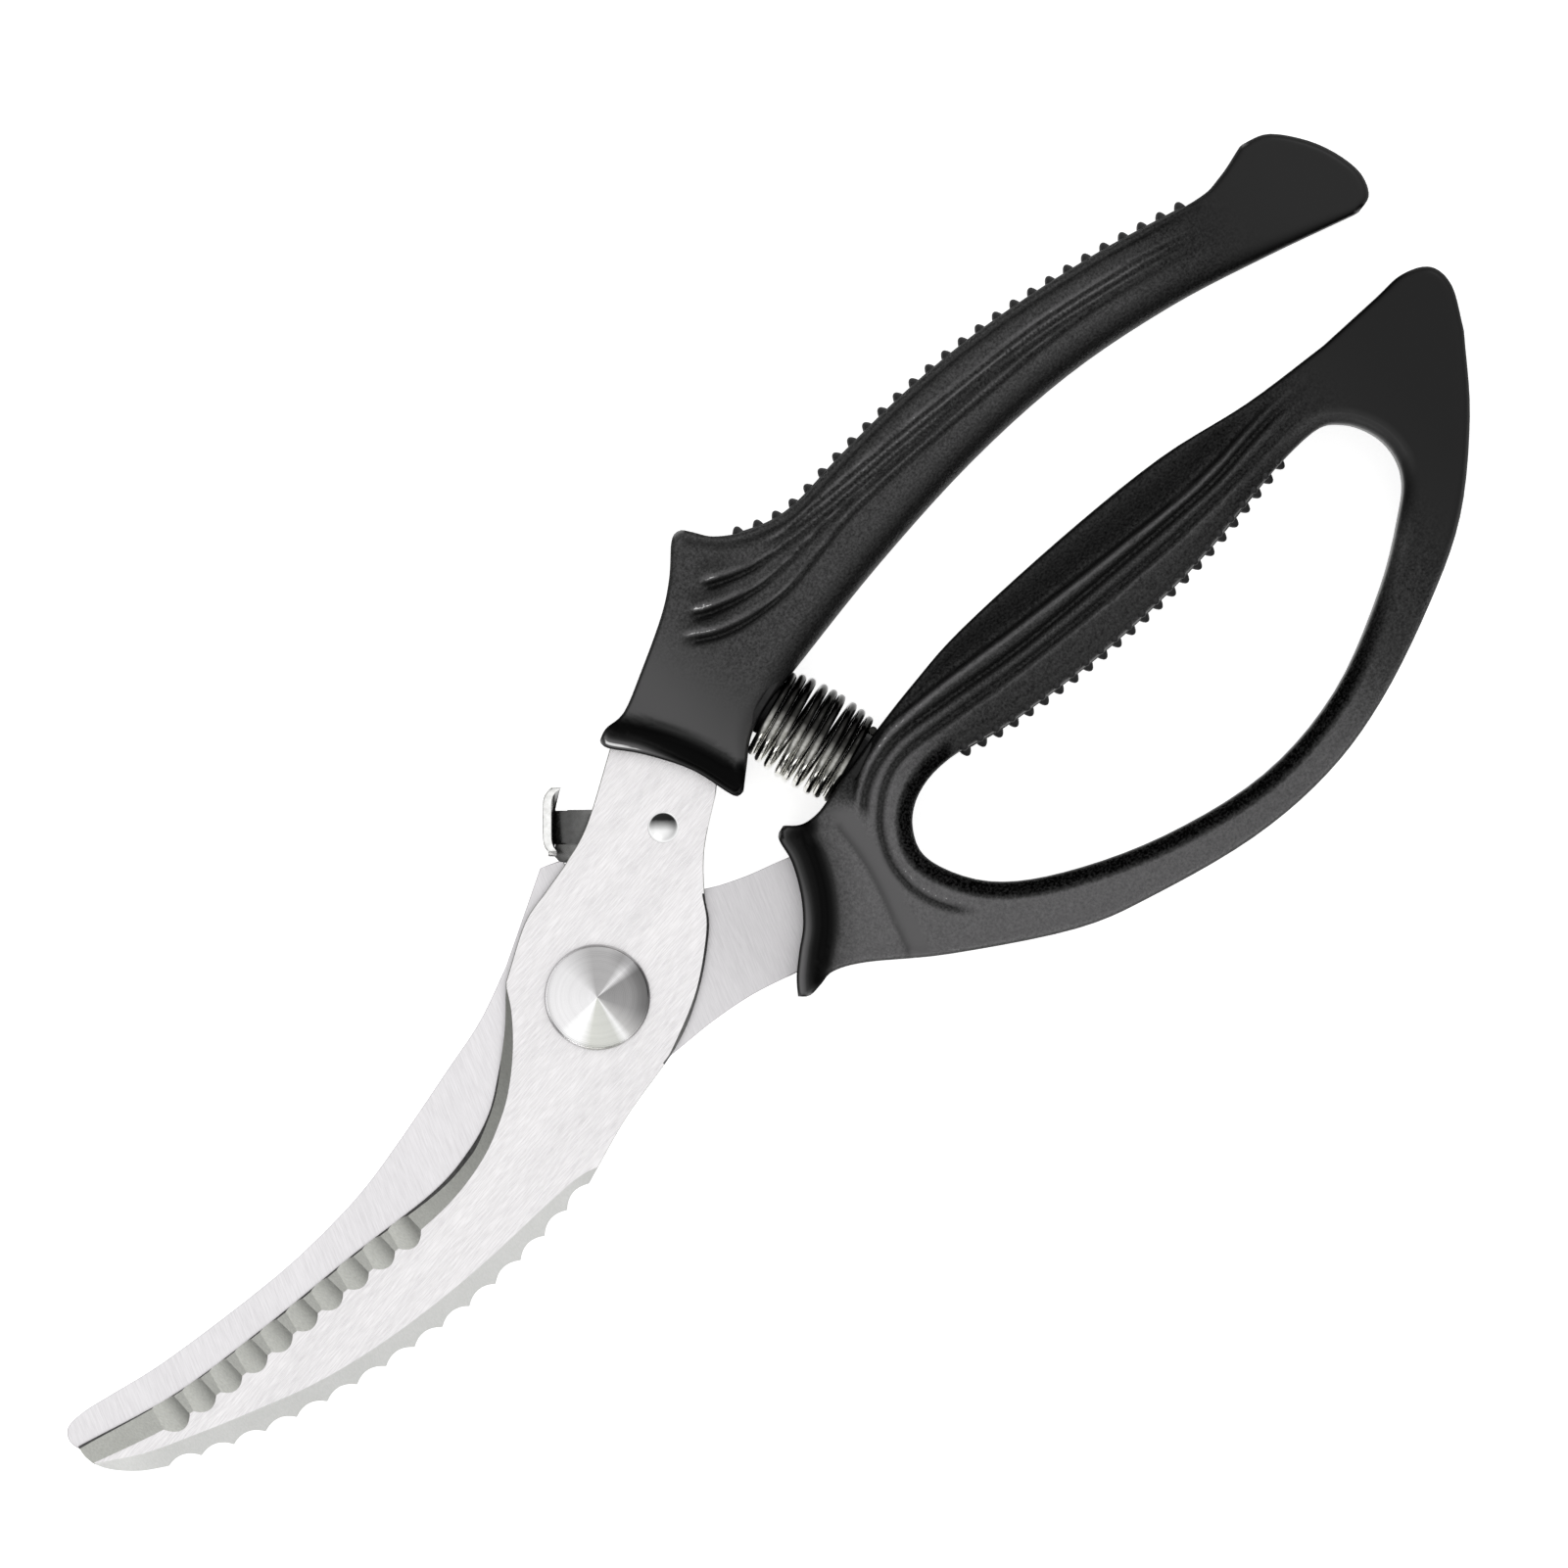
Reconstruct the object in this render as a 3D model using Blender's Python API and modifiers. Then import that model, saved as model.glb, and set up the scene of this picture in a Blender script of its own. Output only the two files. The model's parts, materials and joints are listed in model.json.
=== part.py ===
"""Poultry shears: two curved blades on one pivot, sprung moulded handles, and a catch that holds them shut.

Every shape is drawn in millimetres about the pivot: +X towards the handles, +Y towards the upper handle,
and Z along the pivot, with z = 0 midway between the two blades. The whole stands on its handles.
"""

from math import cos, pi, radians, sin, tan, tau

import bmesh
import bpy
from mathutils import Matrix, Vector

MM = 0.001
GAP = 0.3  # between pieces that touch
RUN = 0.1  # round a shank in its hole
FACETS = 32  # sides of a round piece

# Blades. Both lie GAP apart about z = 0.
BLADE_THICK = 2.5
BLADE_IN = GAP / 2
BLADE_OUT = BLADE_IN + BLADE_THICK
EDGE_BEVEL = radians(29)
SPINE_BEVEL = radians(27)
FLUTE_SLOPE = radians(26)
FLUTE_RADIUS = 4.0
FLUTES = 10
SPINE_TEETH = 15
SPINE_TOOTH_DEPTH = 0.95

# Handles and the height that everything stands at.
HANDLE_HALF = 8.5
HANDLE_ROUND = 0.8
BASE = -HANDLE_HALF

# Pivot.
HEAD_RADIUS = 7.5
HEAD_HIGH = 2.3
SHANK_RADIUS = 3.5
WASHER_THICK = 0.8
NUT_FLATS = 12.0

# Catch, on its rivet.
RIVET_AT = Vector((22.6, 12.4))
CATCH_TURN = radians(140)
CATCH_THICK = 1.2
RIVET_RADIUS = 1.75
EAR_RADIUS = 20.0
NOTCH_RADIUS = 17.5

# Spring, on the line between its two seats.
SPRING_MIDDLE = Vector((47.3, 9.1))
SPRING_LEAN = radians(-72)
SPRING_LONG = 15.6
SPRING_WIRE = 1.2
SPRING_RADIUS = 6.9
SPRING_END_RADIUS = 5.7
SPRING_TURNS = 9
CUP_RADIUS = 6.9
CUP_THICK = 0.8
CUP_BOSS_RADIUS = 4.2
CUP_BOSS_HIGH = 2.2

# Grip strips.
STRIP_HALF = 2.8
STRIP_DEEP = 1.5
TOOTH_HIGH = 1.2
UPPER_TEETH = 27
LOWER_TEETH = 24

# ---------------------------------------------------------------- outlines
# A line is a list of 2-D points. The points below are the few that each line passes through.

UPPER_EDGE = [(-8.5, 10.0), (-13, 4.9), (-17.5, 0.9), (-22.5, -2.8), (-28.5, -5.1), (-36, -6.2),
              (-50, -5.7), (-66, -5.5), (-82, -4.6), (-97.3, -1.5)]
UPPER_TIP = [(-97.3, -1.5), (-97.4, -3.3), (-96.9, -5.2), (-95.4, -7.4), (-92.6, -9.9), (-89.2, -11.9)]
UPPER_SPINE = [(-89.2, -11.9), (-79, -15.9), (-68.5, -18.8), (-58.6, -20.6), (-47.5, -21.7),
               (-37.5, -21.9), (-27, -21.1), (-17.9, -19.5)]
UPPER_HEEL = [(-17.9, -19.5), (-7.7, -15.7), (3.9, -12.6), (11.5, -8.6), (18.3, -2.8), (21.1, 1.5),
              (25.2, 6.4), (31.5, 11.4)]
UPPER_TANG = [(31.5, 11.4), (38, 17.4), (45, 20.6), (60, 23.4), (83, 25.9), (86.5, 30.2), (83, 34.2),
              (60, 32.2), (45, 29.6), (33, 27.6), (24.6, 26.2)]
UPPER_NECK = [(24.6, 26.2), (14.8, 19.8), (9.1, 17.5), (3.9, 16.1), (-1.2, 14.6), (-8.5, 10.0)]

EDGE_BEVEL_LINE = [(-6.5, 14.0), (-8.8, 9.6), (-10.8, 6.0), (-14.1, 1.8), (-18.3, -2.2), (-22.2, -4.8),
                   (-27.3, -7.2), (-34, -8.8), (-42, -9.2), (-56, -8.9), (-72, -8.8), (-81, -8.2),
                   (-87, -7.3), (-97, -4.7), (-103, -2.8)]
FLUTE_ENDS = [(-42.5, -10.5), (-52, -10.1), (-61, -10.0), (-72, -9.9), (-84.2, -9.2)]
SPINE_BEVEL_LINE = [(-104, -1.0), (-95.8, -5.5), (-90.3, -8.4), (-83.3, -10.9), (-75.6, -13.4),
                    (-65.8, -16.2), (-56, -17.8), (-45.7, -18.5), (-35.5, -18.5), (-23.9, -17.9),
                    (-17.2, -18.0), (-10, -20.5)]

LOWER_SPINE = [(-7.3, 11.6), (-15, 8.1), (-23.5, 5.6), (-35.2, 2.3), (-44.3, 0.2), (-55.5, -0.9),
               (-66, -0.9), (-80.3, -0.1), (-88.6, 1.1), (-93.5, 1.8), (-96.7, 1.5), (-97.8, -0.4),
               (-97.0, -3.0)]
LOWER_EDGE = [(-97.0, -3.0), (-90, -6.0), (-80, -8.9), (-65, -11.4), (-50, -12.4), (-35, -12.9),
              (-20, -12.9), (-6, -13.0), (4, -13.1), (10.5, -13.2), (17.1, -13.9), (24, -15.5)]
LOWER_TANG = [(24, -15.5), (31, -16.0), (38, -15.6), (44.0, -13.0), (44.8, -9.5), (43.5, -6.0),
              (38, -3.8), (32.4, -1.9), (27.2, -0.4), (22, 1.6)]
LOWER_BEVEL_LINE = [(-103, 1.5), (-97.5, 0.2), (-90, -3.1), (-80, -6.0), (-65, -8.5), (-50, -9.5),
                    (-35, -10.0), (-22, -10.5), (-14, -12.6), (-8, -15.5)]

UPPER_HANDLE = [(24.7, 27.4), (26.4, 28.5), (28.8, 28.3), (34.3, 31.3), (41.7, 35.6), (46.0, 39.0),
                (49.6, 42.8), (51.4, 43.2), (52.6, 41.9), (54.8, 39.2), (59.6, 36.6), (66, 35.4),
                (76, 36.6), (90, 37.6), (104.3, 37.3), (121, 35.3), (136.8, 32.1), (142, 32.3),
                (147.4, 33.9), (151.5, 32.4), (155.7, 27.0), (157.7, 20.8), (156.7, 16.8), (154.0, 15.8),
                (139.4, 19.6), (124.6, 22.8), (107.6, 24.6), (89.5, 24.0), (70, 21.3), (51.6, 17.6),
                (45, 16.1), (40.6, 14.4), (37.2, 11.4), (34.6, 9.7), (32.6, 10.7), (30.2, 16.2),
                (26.6, 22.0), (24.4, 25.6)]
LOWER_HANDLE = [(35.8, 1.7), (37.8, 0.2), (40.4, -0.1), (43.6, 0.6), (54, 3.4), (63, 5.3), (73, 6.8),
                (92, 7.6), (110, 7.3), (124.5, 5.3), (138, 4.6), (148, 5.0), (153, 5.2), (156.8, 3.4),
                (157.4, -0.6), (154.6, -6.6), (147.4, -16.5), (137.3, -26.4), (126, -33.1), (112, -39.2),
                (99.5, -42.2), (85.7, -42.4), (70, -39.7), (58.2, -36.2), (42.3, -27.5), (32.5, -20.8),
                (28.2, -18.8), (25.4, -19.3), (23.2, -18.2), (23.4, -16.2), (25.6, -14.0), (28.7, -11.4),
                (31.6, -7.7), (33.4, -3.2), (34.1, 0.8)]
FINGER_LOOP = [(130.2, -2.9), (134.4, -5.0), (136.7, -10.6), (136.2, -14.8), (132.4, -19.3), (122, -27),
               (107.8, -34.0), (92.7, -36.5), (76.3, -34.1), (62, -28.9), (53.1, -23.1), (48.6, -15.6),
               (49.5, -10.6), (53.5, -7.2), (60, -6.2), (70.8, -7.9), (88, -8.6), (105, -7.4),
               (118.4, -4.9)]
UPPER_GRIP = [(57.5, 37.5), (62, 35.9), (67, 35.5), (76, 36.6), (90, 37.6), (104.3, 37.3), (121, 35.3),
              (135, 32.5)]
LOWER_GRIP = [(62.5, -6.6), (70.8, -7.9), (88, -8.6), (105, -7.4), (118.4, -4.9), (122.5, -4.1)]


def smooth(points, steps=4, closed=False):
    """A smooth line through the given points."""
    knots = [Vector(point) for point in points]
    if closed:
        knots = [knots[-1]] + knots + knots[:2]
    else:
        knots = [2 * knots[0] - knots[1]] + knots + [2 * knots[-1] - knots[-2]]
    line = []
    for before, start, end, after in zip(knots, knots[1:], knots[2:], knots[3:]):
        for step in range(steps):
            t = step / steps
            bend = 2 * start - 2 * end + (end - before) / 2 + (after - start) / 2
            lift = 3 * (end - start) - (end - before) - (after - start) / 2
            line.append(start + t * ((end - before) / 2 + t * (lift + t * bend)))
    return line if closed else line + [knots[-2]]


def chain(*lines):
    """One closed outline from lines that each start where the last one ends."""
    return [point for line in lines for point in line[:-1]]


def evenly(line, count):
    """The points that cut a line into equal lengths."""
    lengths = [(b - a).length for a, b in zip(line, line[1:])]
    step = sum(lengths) / count
    points, travelled, at = [line[0]], 0.0, 0
    for wanted in (step * i for i in range(1, count)):
        while travelled + lengths[at] < wanted:
            travelled += lengths[at]
            at += 1
        points.append(line[at].lerp(line[at + 1], (wanted - travelled) / lengths[at]))
    return points + [line[-1]]


def normals(line, closed=False):
    """The unit normal on the left of the line at each of its points."""
    found = []
    for i, point in enumerate(line):
        before = line[i - 1] if i or closed else point
        after = line[(i + 1) % len(line)] if i + 1 < len(line) or closed else point
        along = (after - before).normalized()
        found.append(Vector((-along.y, along.x)))
    return found


def offset(line, distance, closed=False):
    """The line moved to its left by a distance."""
    return [point + distance * normal for point, normal in zip(line, normals(line, closed))]


def scallops(points, depth, steps=5):
    """A hollow arc, cut to the left, between each pair of neighbouring points."""
    line = []
    for start, end in zip(points, points[1:]):
        across = end - start
        inward = Vector((-across.y, across.x)).normalized()
        for step in range(steps):
            t = step / steps
            line.append(start.lerp(end, t) + depth * 4 * t * (1 - t) * inward)
    return line + [points[-1]]


def arc(radius, start, end, steps=8):
    """Points round the pivot, with the angles in degrees."""
    turns = (radians(start + (end - start) * i / steps) for i in range(steps + 1))
    return [Vector((radius * cos(turn), radius * sin(turn))) for turn in turns]


# ---------------------------------------------------------------- scene and solids


def clear_scene():
    for obj in list(bpy.data.objects):
        bpy.data.objects.remove(obj)
    for collection in list(bpy.data.collections):
        bpy.data.collections.remove(collection)


def new_collection(name):
    collection = bpy.data.collections.new(name)
    bpy.context.scene.collection.children.link(collection)
    return collection


def new_material(name, colour, metallic, roughness):
    material = bpy.data.materials.new(name)
    material.use_nodes = True
    shader = material.node_tree.nodes["Principled BSDF"]
    shader.inputs["Base Color"].default_value = (*colour, 1.0)
    shader.inputs["Metallic"].default_value = metallic
    shader.inputs["Roughness"].default_value = roughness
    return material


def new_empty(name, parent, location=(0, 0)):
    empty = bpy.data.objects.new(name, None)
    empty.empty_display_size = 10 * MM
    empty.parent = parent
    empty.location = (location[0] * MM, location[1] * MM, 0)
    PARTS.objects.link(empty)
    return empty


def as_mesh(curve_object):
    """A closed mesh object in place of a curve object."""
    bpy.context.view_layer.update()
    graph = bpy.context.evaluated_depsgraph_get()
    mesh = bpy.data.meshes.new_from_object(curve_object.evaluated_get(graph))
    shape = bmesh.new()
    shape.from_mesh(mesh)
    bmesh.ops.remove_doubles(shape, verts=shape.verts, dist=1e-7)
    bmesh.ops.recalc_face_normals(shape, faces=shape.faces)
    shape.to_mesh(mesh)
    shape.free()
    obj = bpy.data.objects.new(curve_object.name, mesh)
    obj.matrix_world = curve_object.matrix_world
    curve = curve_object.data
    name = curve_object.name
    bpy.data.objects.remove(curve_object)
    bpy.data.curves.remove(curve)
    obj.name = name
    return obj


def new_curve(name, lines, closed=True, dimensions="2D"):
    curve = bpy.data.curves.new(name, "CURVE")
    curve.dimensions = dimensions
    for line in lines:
        spline = curve.splines.new("POLY")
        spline.points.add(len(line) - 1)
        for knot, point in zip(spline.points, line):
            knot.co = (*(MM * Vector(point)).to_3d(), 1)
        spline.use_cyclic_u = closed
    obj = bpy.data.objects.new(name, curve)
    PARTS.objects.link(obj)
    return obj


def plate(name, outlines, low, high, rounding=0.0):
    """A flat piece with the given outline, and holes where more outlines are given."""
    obj = new_curve(name, outlines)
    obj.data.fill_mode = "BOTH"
    obj.data.extrude = ((high - low) / 2 - rounding) * MM
    obj.data.bevel_depth = rounding * MM
    obj.data.bevel_resolution = 1
    obj.data.offset = -rounding * MM
    obj.location.z = (low + high) / 2 * MM
    return as_mesh(obj)


def swept(name, line, profile, height):
    """A solid of one closed profile along a flat line. The profile is across to the right, and up."""
    section = new_curve(name + "_profile", [profile])
    path = new_curve(name, [line], closed=False, dimensions="3D")
    path.data.bevel_mode = "OBJECT"
    path.data.bevel_object = section
    path.data.use_fill_caps = True
    path.data.twist_mode = "Z_UP"
    path.location.z = height * MM
    solid = as_mesh(path)
    bpy.data.objects.remove(section)
    return solid


def turned(name, profile):
    """A solid of revolution about Z from its outer side, top to bottom, as (radius, height) points."""
    mesh = bpy.data.meshes.new(name)
    points = [(radius * MM, 0, height * MM) for radius, height in profile]
    mesh.from_pydata(points, [(i, i + 1) for i in range(len(points) - 1)], [])
    obj = bpy.data.objects.new(name, mesh)
    screw = obj.modifiers.new("turn", "SCREW")
    screw.steps = screw.render_steps = FACETS
    screw.use_merge_vertices = True
    screw.merge_threshold = 1e-7
    return obj


def cylinder(name, radius, low, high, at=(0, 0), facets=FACETS):
    mesh = bpy.data.meshes.new(name)
    shape = bmesh.new()
    bmesh.ops.create_cone(
        shape, cap_ends=True, segments=facets, radius1=radius * MM, radius2=radius * MM,
        depth=(high - low) * MM, matrix=Matrix.Translation((at[0] * MM, at[1] * MM, (low + high) / 2 * MM)))
    shape.to_mesh(mesh)
    shape.free()
    return bpy.data.objects.new(name, mesh)


def place(obj, parent, material):
    """Make an object one of the parts."""
    PARTS.objects.link(obj)
    obj.parent = parent
    obj.data.materials.clear()
    obj.data.materials.append(material)
    obj.data.shade_smooth()
    obj.data.set_sharp_from_angle(angle=radians(20))
    return obj


def combine(obj, other, operation, parent):
    """Cut another solid from an object, or join it on."""
    CUTTERS.objects.link(other)
    other.parent = parent
    other.hide_render = True
    other.display_type = "WIRE"
    boolean = obj.modifiers.new(other.name, "BOOLEAN")
    boolean.operation = operation
    boolean.solver = "EXACT"
    boolean.object = other
    return other


def cut(obj, other, parent):
    return combine(obj, other, "DIFFERENCE", parent)


# ---------------------------------------------------------------- blades


def wedge(angle, width=9.0, above=1.0):
    """The profile of what a bevel takes off, on the right of its line."""
    return [(-above / tan(angle), above), (width, -width * tan(angle)), (width, above)]


def upper_blade_outline():
    teeth = evenly(smooth(UPPER_SPINE), SPINE_TEETH)
    return chain(smooth(UPPER_EDGE), smooth(UPPER_TIP), scallops(teeth, SPINE_TOOTH_DEPTH),
                 smooth(UPPER_HEEL), smooth(UPPER_TANG, 3), smooth(UPPER_NECK))


def flute_cutter(name, end, outward):
    """One ground flute: a cylinder whose lowest line slopes down from its end in the flat to the edge."""
    slope = Vector((outward.x * cos(FLUTE_SLOPE), outward.y * cos(FLUTE_SLOPE), -sin(FLUTE_SLOPE)))
    lift = Vector((outward.x * sin(FLUTE_SLOPE), outward.y * sin(FLUTE_SLOPE), cos(FLUTE_SLOPE)))
    middle = Vector((*end, BLADE_OUT)) + FLUTE_RADIUS * lift
    obj = cylinder(name, FLUTE_RADIUS, -14, 14, facets=40)
    turn = Vector((0, 0, 1)).rotation_difference(slope).to_matrix().to_4x4()
    obj.data.transform(Matrix.Translation(middle * MM) @ turn)
    return obj


def build_upper_blade(half, steel):
    blade = place(plate("upper_blade", [upper_blade_outline()], BLADE_IN, BLADE_OUT), half, steel)
    cut(blade, cylinder("upper_pivot_hole", SHANK_RADIUS + RUN, 0, 4), half)
    cut(blade, cylinder("rivet_hole", RIVET_RADIUS + RUN, 0, 4, RIVET_AT), half)
    cut(blade, swept("edge_bevel", smooth(EDGE_BEVEL_LINE), wedge(EDGE_BEVEL), BLADE_OUT), half)
    cut(blade, swept("spine_bevel", smooth(SPINE_BEVEL_LINE), wedge(SPINE_BEVEL), BLADE_OUT), half)
    ends = evenly(smooth(FLUTE_ENDS), FLUTES - 1)
    for i, (end, inward) in enumerate(zip(ends, normals(ends))):
        cut(blade, flute_cutter(f"flute_{i + 1}", end, -inward), half)
    return blade


def lower_blade_outline():
    """The ear, which the catch holds, stands between the blade's spine and the notch behind it."""
    ear = arc(EAR_RADIUS, 64, 74, 4)
    notch = arc(NOTCH_RADIUS, 14, 63, 14)
    return chain(smooth(LOWER_SPINE), smooth(LOWER_EDGE), smooth(LOWER_TANG, 3),
                 notch + ear + [Vector(LOWER_SPINE[0])])


def build_lower_blade(half, steel):
    blade = place(plate("lower_blade", [lower_blade_outline()], -BLADE_OUT, -BLADE_IN), half, steel)
    cut(blade, cylinder("lower_pivot_hole", SHANK_RADIUS + RUN, -4, 0), half)
    profile = [(across, -up) for across, up in wedge(EDGE_BEVEL)]
    cut(blade, swept("lower_edge_bevel", smooth(LOWER_BEVEL_LINE), profile, -BLADE_OUT), half)
    return blade


# ---------------------------------------------------------------- handles, grips and spring seats


def spring_frame(along):
    """The place on the spring's axis, with local Z along it, towards the lower handle."""
    axis = Vector((cos(SPRING_LEAN), sin(SPRING_LEAN), 0))
    turn = Vector((0, 0, 1)).rotation_difference(axis).to_matrix().to_4x4()
    at = SPRING_MIDDLE.to_3d() + along * axis
    return Matrix.Translation(at * MM) @ turn


def grip_outline(line, teeth, inset, extra=0.0):
    """A strip let into an edge, whose outer side, on the right of the line, is a row of round teeth."""
    back = offset(line, inset)
    if extra:
        return back + list(reversed(offset(line, -extra)))
    roots = evenly(offset(line, -0.2), teeth)
    return back + list(reversed(scallops(roots, -TOOTH_HIGH + 0.2, 6)))


def build_handle(name, outlines, half, plastic, blade_outline, blade_low, grip_line, seat):
    """A moulded handle with the pocket for its tang, the groove for its grip strip and its spring seat."""
    handle = place(plate(name, outlines, -HANDLE_HALF, HANDLE_HALF, HANDLE_ROUND), half, plastic)
    pocket = offset(blade_outline, -GAP, closed=True)
    low, high = blade_low - GAP, blade_low + BLADE_THICK + GAP
    cut(handle, plate(f"{name}_tang_pocket", [pocket], low, high), half)
    groove = grip_outline(grip_line, 0, STRIP_DEEP + GAP, 4.0)
    cut(handle, plate(f"{name}_grip_groove", [groove], -STRIP_HALF - GAP, STRIP_HALF + GAP), half)
    bore = cylinder(f"{name}_spring_seat", CUP_RADIUS + GAP, 0, 8)
    bore.data.transform(seat @ Matrix.Translation((0, 0, -(CUP_THICK + GAP) * MM)))
    cut(handle, bore, half)
    return handle


def build_spring_cup(name, seat, half, steel):
    """A pressed seat: a rim that the last coil stands on, round a boss that keeps the coil central."""
    profile = [(0, CUP_BOSS_HIGH), (CUP_BOSS_RADIUS - 0.8, CUP_BOSS_HIGH),
               (CUP_BOSS_RADIUS, CUP_BOSS_HIGH - 0.8), (CUP_BOSS_RADIUS, 0), (CUP_RADIUS, 0),
               (CUP_RADIUS, -CUP_THICK), (0, -CUP_THICK)]
    cup = turned(name, profile)
    cup.data.transform(seat)
    screw = cup.modifiers["turn"]
    pole = new_empty(f"{name}_axis", half)
    pole.matrix_local = seat
    screw.object = pole
    return place(cup, half, steel)


def spring_points(steps=14):
    """A coil that is close wound for a turn at each end, evenly wound between, and widest in the middle."""
    closed = 1.05 * SPRING_WIRE
    reach = SPRING_LONG / 2 - GAP - SPRING_WIRE / 2
    pitch = (2 * reach - 2 * closed) / (SPRING_TURNS - 2)
    points = []
    for i in range(SPRING_TURNS * steps + 1):
        turns = i / steps
        at_ends = min(turns, 1) + max(turns - SPRING_TURNS + 1, 0)
        along = at_ends * closed + (turns - at_ends) * pitch - reach
        swell = sin(pi * turns / SPRING_TURNS) ** 0.6
        radius = SPRING_END_RADIUS + (SPRING_RADIUS - SPRING_END_RADIUS) * swell
        points.append(Vector((radius * cos(tau * turns), radius * sin(tau * turns), along)))
    return points


def build_spring(half, steel):
    coil = new_curve("spring", [spring_points()], closed=False, dimensions="3D")
    coil.data.bevel_depth = SPRING_WIRE / 2 * MM
    coil.data.bevel_resolution = 1
    coil.data.use_fill_caps = True
    spring = as_mesh(coil)
    spring.data.transform(spring_frame(0))
    return place(spring, half, steel)


def build_grip(name, line, teeth, half, rubber):
    outline = grip_outline(line, teeth, STRIP_DEEP)
    return place(plate(name, [outline], -STRIP_HALF, STRIP_HALF), half, rubber)


# ---------------------------------------------------------------- pivot and catch


def build_pivot(half, steel):
    under = BLADE_OUT + GAP
    top = under + HEAD_HIGH
    head = [(0, top - 0.5), (HEAD_RADIUS - 1.1, top), (HEAD_RADIUS - 0.4, top - 0.2),
            (HEAD_RADIUS, top - 0.9), (HEAD_RADIUS, under), (SHANK_RADIUS, under),
            (SHANK_RADIUS, BASE + 0.9), (SHANK_RADIUS - 0.6, BASE + GAP), (0, BASE + GAP)]
    place(turned("pivot_bolt", head), half, steel)
    washer_top = -BLADE_OUT - GAP
    washer = cylinder("pivot_washer", SHANK_RADIUS + 3.0, washer_top - WASHER_THICK, washer_top)
    place(washer, half, steel)
    cut(washer, cylinder("washer_hole", SHANK_RADIUS + RUN, -9, 0), half)
    nut = cylinder("pivot_nut", NUT_FLATS / 2 / cos(pi / 6), BASE, washer_top - WASHER_THICK - GAP, facets=6)
    place(nut, half, steel)
    nut.data.shade_flat()
    cut(nut, cylinder("nut_hole", SHANK_RADIUS + RUN, -10, 0), half)


def build_catch(hinge, steel):
    """Bent sheet, drawn about the rivet with x towards the thumb tab: a lever, its tooth, and the tab."""
    boss = [Vector((4 * cos(turn), 4 * sin(turn))) for turn in (radians(a) for a in range(60, 301, 20))]
    lever = boss + [Vector(p) for p in (
        (5.0, -2.6), (16.2, -2.4), (16.2, 2.2), (14.1, 2.4), (14.0, 3.7), (13.4, 4.0), (12.2, 3.9),
        (11.6, 3.2), (6.0, 3.1))]
    catch = plate("latch", [lever], -BLADE_IN - CATCH_THICK, -BLADE_IN)
    catch.data.transform(Matrix.Rotation(CATCH_TURN, 4, "Z"))
    place(catch, hinge, steel)
    cut(catch, cylinder("latch_hole", RIVET_RADIUS + RUN, -3, 1), hinge)
    side = [Vector(p) for p in (
        (-2.4, -1.35), (2.2, -1.35), (2.4, 0.5), (4.0, 0.7), (4.9, 1.6), (4.9, 5.6), (3.8, 6.6), (-5.0, 6.6),
        (-5.8, 5.8), (-5.8, 1.8), (-4.6, 0.6), (-2.6, 0.4))]
    tab = plate("thumb_tab", [side], 16.0, 16.0 + CATCH_THICK)
    # The tab's outline is (across, up), so its plate is stood on edge: Y, Z and X take x, y and z.
    stand = Matrix(((0, 0, 1, 0), (1, 0, 0, 0), (0, 1, 0, 0), (0, 0, 0, 1)))
    tab.data.transform(Matrix.Rotation(CATCH_TURN, 4, "Z") @ stand @ tab.matrix_world)
    tab.matrix_world = Matrix.Identity(4)
    combine(catch, tab, "UNION", hinge)
    return catch


def build_latch_rivet(half, steel):
    sheet = -BLADE_IN - CATCH_THICK
    washer_low = sheet - GAP - 0.5
    washer = cylinder("latch_washer", 3.2, washer_low, sheet - GAP, RIVET_AT)
    place(washer, half, steel)
    cut(washer, cylinder("latch_washer_hole", RIVET_RADIUS + RUN, -4, 0, RIVET_AT), half)
    tail = washer_low - GAP
    profile = [(0, BLADE_OUT - 0.75), (0.7, BLADE_OUT - 0.6), (1.3, BLADE_OUT - 0.15),
               (RIVET_RADIUS, BLADE_OUT), (RIVET_RADIUS, tail), (3.0, tail), (3.0, tail - 0.5),
               (2.2, tail - 1.1), (0, tail - 1.1)]
    rivet = turned("latch_rivet", profile)
    rivet.location = (RIVET_AT * MM).to_3d()
    place(rivet, half, steel)


def stand_on_base(frame):
    """Move the whole so that the middle of its underside is the origin."""
    bpy.context.view_layer.update()
    graph = bpy.context.evaluated_depsgraph_get()
    corners = []
    for obj in PARTS.objects:
        if obj.type != "EMPTY":
            solid = obj.evaluated_get(graph)
            corners += [solid.matrix_world @ vertex.co for vertex in solid.data.vertices]
    low = Vector(min(corner[i] for corner in corners) for i in range(3))
    high = Vector(max(corner[i] for corner in corners) for i in range(3))
    frame.location = (-(low.x + high.x) / 2, -(low.y + high.y) / 2, -low.z)
    return frame.location


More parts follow.
